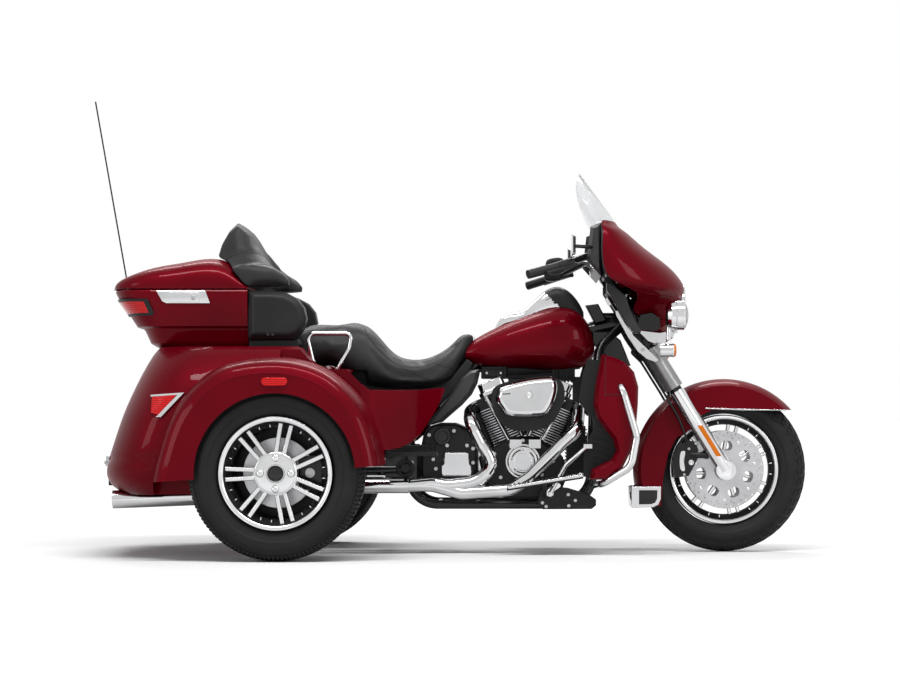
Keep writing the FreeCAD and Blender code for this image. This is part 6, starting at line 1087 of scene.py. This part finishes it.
def cushion(name, node, body, inset, cap, rests):
    """Stuffed pad: its room set in by a distance, then blown up with its resting faces held.

    No point moves further than the cap.
    """
    limit = cap * 0.001
    work = bmesh.new()
    work.from_mesh(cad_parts[node].data)
    bmesh.ops.remove_doubles(work, verts=work.verts, dist=0.0001)
    bmesh.ops.recalc_face_normals(work, faces=work.faces)
    mesh = bpy.data.meshes.new(name)
    work.to_mesh(mesh)
    work.free()
    pad = bpy.data.objects.new(name, mesh)
    scene.collection.objects.link(pad)
    even = pad.modifiers.new("even_mesh", "REMESH")
    even.mode = "VOXEL"
    even.voxel_size = 0.006
    pad.data = bpy.data.meshes.new_from_object(pad.evaluated_get(bpy.context.evaluated_depsgraph_get()))
    pad.modifiers.clear()
    normals = [vertex.normal.copy() for vertex in pad.data.vertices]
    for vertex, normal in zip(pad.data.vertices, normals):
        vertex.co -= normal * inset * 0.001
    before = [vertex.co.copy() for vertex in pad.data.vertices]
    held = pad.vertex_groups.new(name="pan")
    held.add([k for k, (vertex, normal) in enumerate(zip(pad.data.vertices, normals))
              if rests(vertex.co * 1000, normal)], 1.0, "REPLACE")
    cloth = pad.modifiers.new("stuffing", "CLOTH")
    cloth.settings.use_pressure = True
    cloth.settings.uniform_pressure_force = 4
    cloth.settings.effector_weights.gravity = 0
    cloth.settings.vertex_group_mass = "pan"
    cloth.settings.quality = 4
    cloth.collision_settings.use_collision = False
    for step in range(1, 21):
        scene.frame_set(step)
    swollen = pad.evaluated_get(bpy.context.evaluated_depsgraph_get()).to_mesh()
    after = [vertex.co.copy() for vertex in swollen.vertices]
    pad.modifiers.clear()
    scene.frame_set(1)
    for vertex, old, new in zip(pad.data.vertices, before, after):
        move = new - old
        vertex.co = old + (move * (limit / move.length) if move.length > limit else move)
    pad.data.polygons.foreach_set("use_smooth", [True] * len(pad.data.polygons))
    relax = pad.modifiers.new("even_skin", "SMOOTH")
    relax.iterations = 6
    rounder = pad.modifiers.new("rounding", "SUBSURF")
    rounder.levels = rounder.render_levels = 1
    pad.data.materials.clear()
    pad.data.materials.append(leather)
    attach(pad, body)
    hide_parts(node)
    return pad


def laid_on(pad, line, side, sink=0.6):
    """Path that follows (x, z) points over a pad's flank, seen from one side."""
    graph = bpy.context.evaluated_depsgraph_get()
    shown = pad.evaluated_get(graph)
    path = []
    for x, z in flow(line, 8):
        hit, place, normal, face = shown.ray_cast(Vector((x, side * 900, z)) * 0.001, Vector((0, -side, 0)))
        if hit:
            path.append(tuple((place - normal * sink * 0.001) * 1000))
    return path


def cad_shape(node, lift=0, widen=1.0):
    """A CAD piece's own form in millimetres, raised and widened."""
    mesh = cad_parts[node].data
    points = [(vertex.co.x * 1000, vertex.co.y * 1000 * widen, vertex.co.z * 1000 + lift) for vertex in mesh.vertices]
    return points, [tuple(face.vertices) for face in mesh.polygons]


def piping(name, pad, lines, body):
    """Rolled seams laid on both flanks of a pad."""
    paths = [laid_on(pad, line, side) for side in (-1, 1) for line in lines]
    seams = [tube(path, 1.7, 8, 1) for path in paths if len(path) > 2]
    make_piece(name, joined(*seams), stitched_edge, body, smooth=60)


seat_pan = carved(cad_shape("seat", widen=0.985), [cad_shape("seat", 12, 1.2)])
make_piece("seat_pan", seat_pan, black_plastic, "chassis")
seat_pad = cushion("seat_pad", "seat", "chassis", 5, 9, lambda place, normal: normal.z < -0.4)
back_pad = cushion("backrest_pad", "backrest", "box_lid", 5, 9, lambda place, normal: normal.x < -0.5)
seat_lines = ([(-311, 864), (-270, 800), (-214, 748), (-160, 710), (-96, 680), (-26, 650)],
              [(-44, 728), (-6, 716), (30, 706)])
back_lines = ([(-838, 1116), (-782, 1140), (-738, 1145), (-700, 1140), (-655, 1112)],
              [(-786, 1081), (-738, 1096), (-674, 1096), (-614, 1084), (-584, 1058)])
piping("seat_piping", seat_pad, seat_lines, "chassis")
piping("backrest_piping", back_pad, back_lines, "box_lid")

# Tank: two painted halves welded along a lip, astride the frame. A chrome console runs along its top,
# black towards the front, with a round filler cap beside it.
cover(red_paint, "fuel_tank")
dressed("console", ["tank_console"], chrome, "chassis", bevel=1.5, smooth=40,
        tints=((black_plastic, lambda point, normal: point.x + point.z > 1384),))

# Fairing: a painted outer shell over a dark inner one that holds the instruments, with a lightly
# tinted windshield standing in its upper edge.
tinted_screen = finish("tinted_screen", (0.84, 0.85, 0.86), (0.88, 0.89, 0.9), 0.0, 0.03, 0.06, 6, 300,
                       transmission=0.94)
cover(red_paint, "fairing_outer")
cover(dark_satin, "fairing_inner")
cover(tinted_screen, "windshield")
trim_line = [(616, 1034), (640, 1024), (664, 1003), (690, 979), (704, 930), (716, 896), (747, 850), (744, 838),
             (722, 838), (690, 878), (656, 938), (616, 1004)]
make_piece("fairing_lower_trim", both(slab(trim_line, ((-196, 0), (-226, 0), (-229, 3)))), dark_satin, "steering",
           bevel=2)
lip_line = [(614, 1062), (650, 1036), (700, 1010), (760, 992), (820, 984), (872, 980)]
lips = [tube(laid_on(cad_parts["fairing_outer"], lip_line, side), 2.4, 10, 1) for side in (-1, 1)]
make_piece("fairing_lips", joined(*lips), red_paint, "steering", smooth=60)
brace_line = [(722, 846), (748, 912), (790, 920), (822, 900), (824, 862), (800, 846)]
make_piece("fairing_braces", both(slab(brace_line, ((-140, 0), (-148, 0)))), gloss_black, "steering",
           bevel=2)
gauge_shapes, dial_shapes = [], []
for y, z, radius in ((-62, 1150, 46), (62, 1150, 46), (-150, 1140, 26), (150, 1140, 26), (-232, 1130, 52),
                     (232, 1130, 52)):
    face, rearward = (571, y, z), (-1, 0, 0)
    gauge_shapes.append(lathe(((-6, radius), (4, radius), (7, radius - 2), (7, radius - 5), (2, radius - 6),
                               (-6, radius - 6)), face, rearward, 48, closed=True))
    dial_shapes.append(lathe(((-4, radius - 5), (1, radius - 5), (2.2, radius * 0.5), (2.4, 0)), face, rearward, 48))
make_piece("gauge_rings", joined(*gauge_shapes), chrome, "steering", bevel=0.6)
make_piece("gauge_faces", joined(*dial_shapes), gloss_black, "steering")

# Lamps: a glass headlamp in the nose, and a chrome bar below it that carries two round passing lamps
# and two turn lamps with amber lenses.
clear_lens = finish("clear_lens", (0.9, 0.9, 0.9), (0.97, 0.97, 0.97), 0.0, 0.02, 0.05, 8, 200, transmission=0.75)
cover(clear_lens, "headlamp")
cover(chrome, "lamp_bar")
ahead = (1, 0, 0)
nose_rim = lathe(((-2, 70), (5, 72), (7, 76), (4, 80.5), (-8, 81), (-8, 74)), (918, 0, 952), ahead, 72, closed=True)
make_piece("headlamp_rim", nose_rim, chrome, "steering", bevel=0.6)
spot_rims, turn_rims, spot_glass, amber_glass = [], [], [], []
for side in (-1, 1):
    spot, back, turn = (908, side * 206, 907), (880, side * 206, 907), (868, side * 226, 774)
    spot_rims += [lathe(((-4, 50), (3, 51), (5, 54), (1, 57.4), (-8, 58), (-8, 52)), spot, ahead, 64, closed=True),
                  lathe(((-1.2, 57.2), (0, 58.4), (1.2, 57.2), (1.2, 56), (-1.2, 56)), back, ahead, 64, closed=True)]
    spot_glass.append(lathe(((-2, 50), (3, 50), (10, 42), (16, 28), (19, 12), (19.6, 0)), spot, ahead, 48))
    amber_glass.append(lathe(((-2, 24.6), (7, 24.6), (10, 21), (12, 9), (12.4, 0)), turn, ahead, 48))
    turn_rims.append(lathe(((-6, 25.4), (0, 26.4), (2, 25.6), (2, 24), (-6, 24)), turn, ahead, 48, closed=True))
make_piece("passing_lamp_rims", joined(*spot_rims, *turn_rims), chrome, "steering", bevel=0.4)
make_piece("passing_lamp_glass", joined(*spot_glass), clear_lens, "steering")
make_piece("turn_lamp_glass", joined(*amber_glass), amber_lens, "steering", bevel=0.5)

# Handlebar and controls: a bent black steel bar with moulded switch housings, levers and grips, and
# mirrors whose glass faces the rider.
cover(gloss_black, "handlebar")
cover(black_plastic, "hand_controls")
housing_line = [(394, 1062), (384, 1092), (394, 1114), (440, 1120), (458, 1098), (450, 1066)]
housing = joined(slab(housing_line, ((-244, 6), (-250, 0), (-296, 0), (-302, 6)), 4),
                 slab([(404, 1074), (400, 1096), (424, 1104), (430, 1080)], ((-240, 0), (-246, 0)), 3),
                 box_shape((384, -292, 1080), (392, -276, 1088)), box_shape((384, -270, 1092), (392, -256, 1100)))
make_piece("switch_housings", both(housing), black_plastic, "steering", bevel=1.2)
dressed("mirror_pair", ["mirrors"], gloss_black, "steering", bevel=3, segments=3,
        tints=((chrome, lambda point, normal: normal.x < -0.5 and abs(point.y) > 345),))

# Lower fairings: painted guards before the rider's legs, with dark liners behind, and a chrome tube
# bent round each as an engine guard.
cover(red_paint, "lower_fairings")
cover(black_plastic, "lower_liners")
cover(chrome, "engine_guard")
vent_line = [(578, 545), (600, 520), (652, 410), (654, 344), (556, 290), (527, 297), (527, 392), (562, 470)]
vent_slats = [slab([(556 + k * 3, 452 - k * 24), (628 - k * 2, 428 - k * 24), (628 - k * 2, 422 - k * 24),
                    (556 + k * 3, 446 - k * 24)], ((-242, 0), (-250, 0))) for k in range(5)]
vents = joined(slab(vent_line, ((-236, 0), (-244, 0), (-246, 2))), *vent_slats)
make_piece("lower_vents", both(vents), black_plastic, "chassis", bevel=1)
seam = tube([(x, -362.2, z) for x, z in ((606, 748), (606, 612), (610, 606), (690, 606))], 1.1, 8, 3)
make_piece("lower_fairing_seam", both(seam), black_plastic, "chassis")

# Speaker pods: moulded housings on both sides of the backrest, with a grille facing the passenger and
# two small sockets. They share one foot on the deck, and a whip antenna stands beside them.
dressed("speaker_housings", ["speaker_pods"], black_plastic, "chassis", bevel=9, segments=4,
        smooth=40)
cover(black_plastic, "antenna")
socket = lathe(((-3, 6.5), (1.2, 6.5), (1.6, 5.6), (0.6, 4.6), (0.6, 0)), (0, 0, 0), (0, 0, 1), 28)
spread("pod_sockets", socket, facing_out([(x, 303, 832) for x in (-657, -640)]), gloss_black, "chassis")
foot_line = [(-734, 778), (-552, 778), (-540, 796), (-548, 816), (-734, 816)]
make_piece("speaker_feet", slab(foot_line, ((-268, 5), (-262, 0), (262, 0), (268, 5))), black_plastic,
           "chassis", bevel=3)

# Under the tank: the coil in its finned, cast housing and the wiring loom, both strapped to the
# backbone tube, with screws on the housing's flanks.
coil_parts = [box_shape((138, -66, 668), (236, 66, 716)), box_shape((150, -72, 676), (224, 72, 704)),
              box_shape((236, -40, 668), (420, 40, 712)), box_shape((410, -60, 660), (500, 60, 706))]
coil_parts += [box_shape((420 + 13 * k, -66, 654), (426 + 13 * k, 66, 700)) for k in range(6)]
make_piece("coil_housing", joined(*coil_parts), powder_black, "chassis", bevel=3)
loom = [tube([(118, y, 700), (180, y - 3, 696), (250, y + 4, 690), (330, y - 2, 694), (410, y + 3, 700),
              (520, y, 712)],
             5, 12) for y in (-58, -46, 46, 58)]
make_piece("wiring_loom", joined(*loom), black_plastic, "chassis")
spread("coil_screws", bolt(5, 3.5), facing_out([(x, 72, 690) for x in (160, 214)]), steel_satin, "chassis")

# Battery tray and cooler: black moulded covers close the frame under the seat and behind the gearbox,
# and a finned oil cooler hangs before the engine.
tray_line = [(-430, 600), (-430, 703), (-294, 703), (-258, 646), (-30, 646), (24, 670), (63, 718), (84, 744),
             (108, 728), (92, 684), (34, 620), (-22, 560)]
tray = joined(slab(tray_line, ((-112, 4), (-106, 0), (106, 0), (112, 4))),
              slab([(-122, 284), (-122, 412), (-82, 412), (-82, 284)], ((-60, 3), (-54, 0), (54, 0), (60, 3))))
make_piece("battery_tray", tray, black_plastic, "chassis", bevel=3)
shroud_line = [(96, 566), (150, 566), (218, 410), (218, 372), (168, 396)]
shroud_lines = [shroud_line, [(2 * crank_x - x, z) for x, z in reversed(shroud_line)]]
shrouds = [slab(line, ((-26, 3), (-22, 0), (22, 0), (26, 3))) for line in shroud_lines]
make_piece("cylinder_shrouds", joined(*shrouds), powder_black, "chassis", bevel=2)
cooler_parts = [box_shape((468, -84, 306), (540, 84, 486)), box_shape((492, -52, 520), (524, 52, 676))]
cooler_parts += [box_shape((462, -90, 314 + 13 * k), (546, 90, 318 + 13 * k)) for k in range(13)]
make_piece("oil_cooler", joined(*cooler_parts), powder_black, "chassis", bevel=1.2)

# Brake pedal bracket: a black plate low on the right rail, with a polished lever and five bolts. The
# chrome foot controls turn on shafts from the same rails.
cover(chrome, "foot_controls")
plate_line = [(352, 200), (366, 238), (402, 258), (470, 252), (548, 228), (577, 208), (577, 186), (560, 172),
              (372, 171)]
make_piece("pedal_bracket", slab(plate_line, ((-160, 0), (-198, 0), (-201, 3))), powder_black, "chassis",
           bevel=2)
lever_line = [(388, 228), (392, 244), (424, 270), (440, 268), (440, 256), (417, 240), (415, 226), (402, 218)]
lever = joined(slab(lever_line, ((-203, 0), (-212, 0)), 3),
               lathe(((-2, 15), (11, 15), (13, 13), (13, 7), (11, 6), (11, 0)), (401, -203, 234), to_right, 48))
make_piece("pedal_lever", lever, polished, "chassis", bevel=1.2)
bracket_bolts = [(x, 201, z) for x, z in ((373, 196), (387, 182), (471, 227), (473, 185), (498, 205))]
spread("bracket_bolts", bolt(6.5, 5), facing_out(bracket_bolts, (-1,)), steel_satin, "chassis")

# Footboards: cast boards on black brackets, topped with a ribbed rubber mat. A chrome strip is
# screwed to each outer edge.
cover(black_plastic, "footboards")
edge_line = [(243, 264), (520, 310), (524, 306), (523, 299), (246, 254), (240, 258)]
make_piece("footboard_edges", both(slab(edge_line, ((-356, 0), (-362, 0), (-363.5, 1.5)))), chrome, "chassis",
           bevel=0.8)
ribs = []
for x in range(262, 262 + 18 * 14, 18):
    z = 264 + (x - 239) * 46 / 285
    ribs.append(box_shape((x, -352, z), (x + 7, -258, z + 5)))
make_piece("footboard_ribs", both(joined(*ribs)), tyre_rubber, "chassis", bevel=1.2)

# Handrails: bent chrome tube on both sides of the passenger, bolted to the body through flattened
# end brackets.
cover(chrome, "handrails")
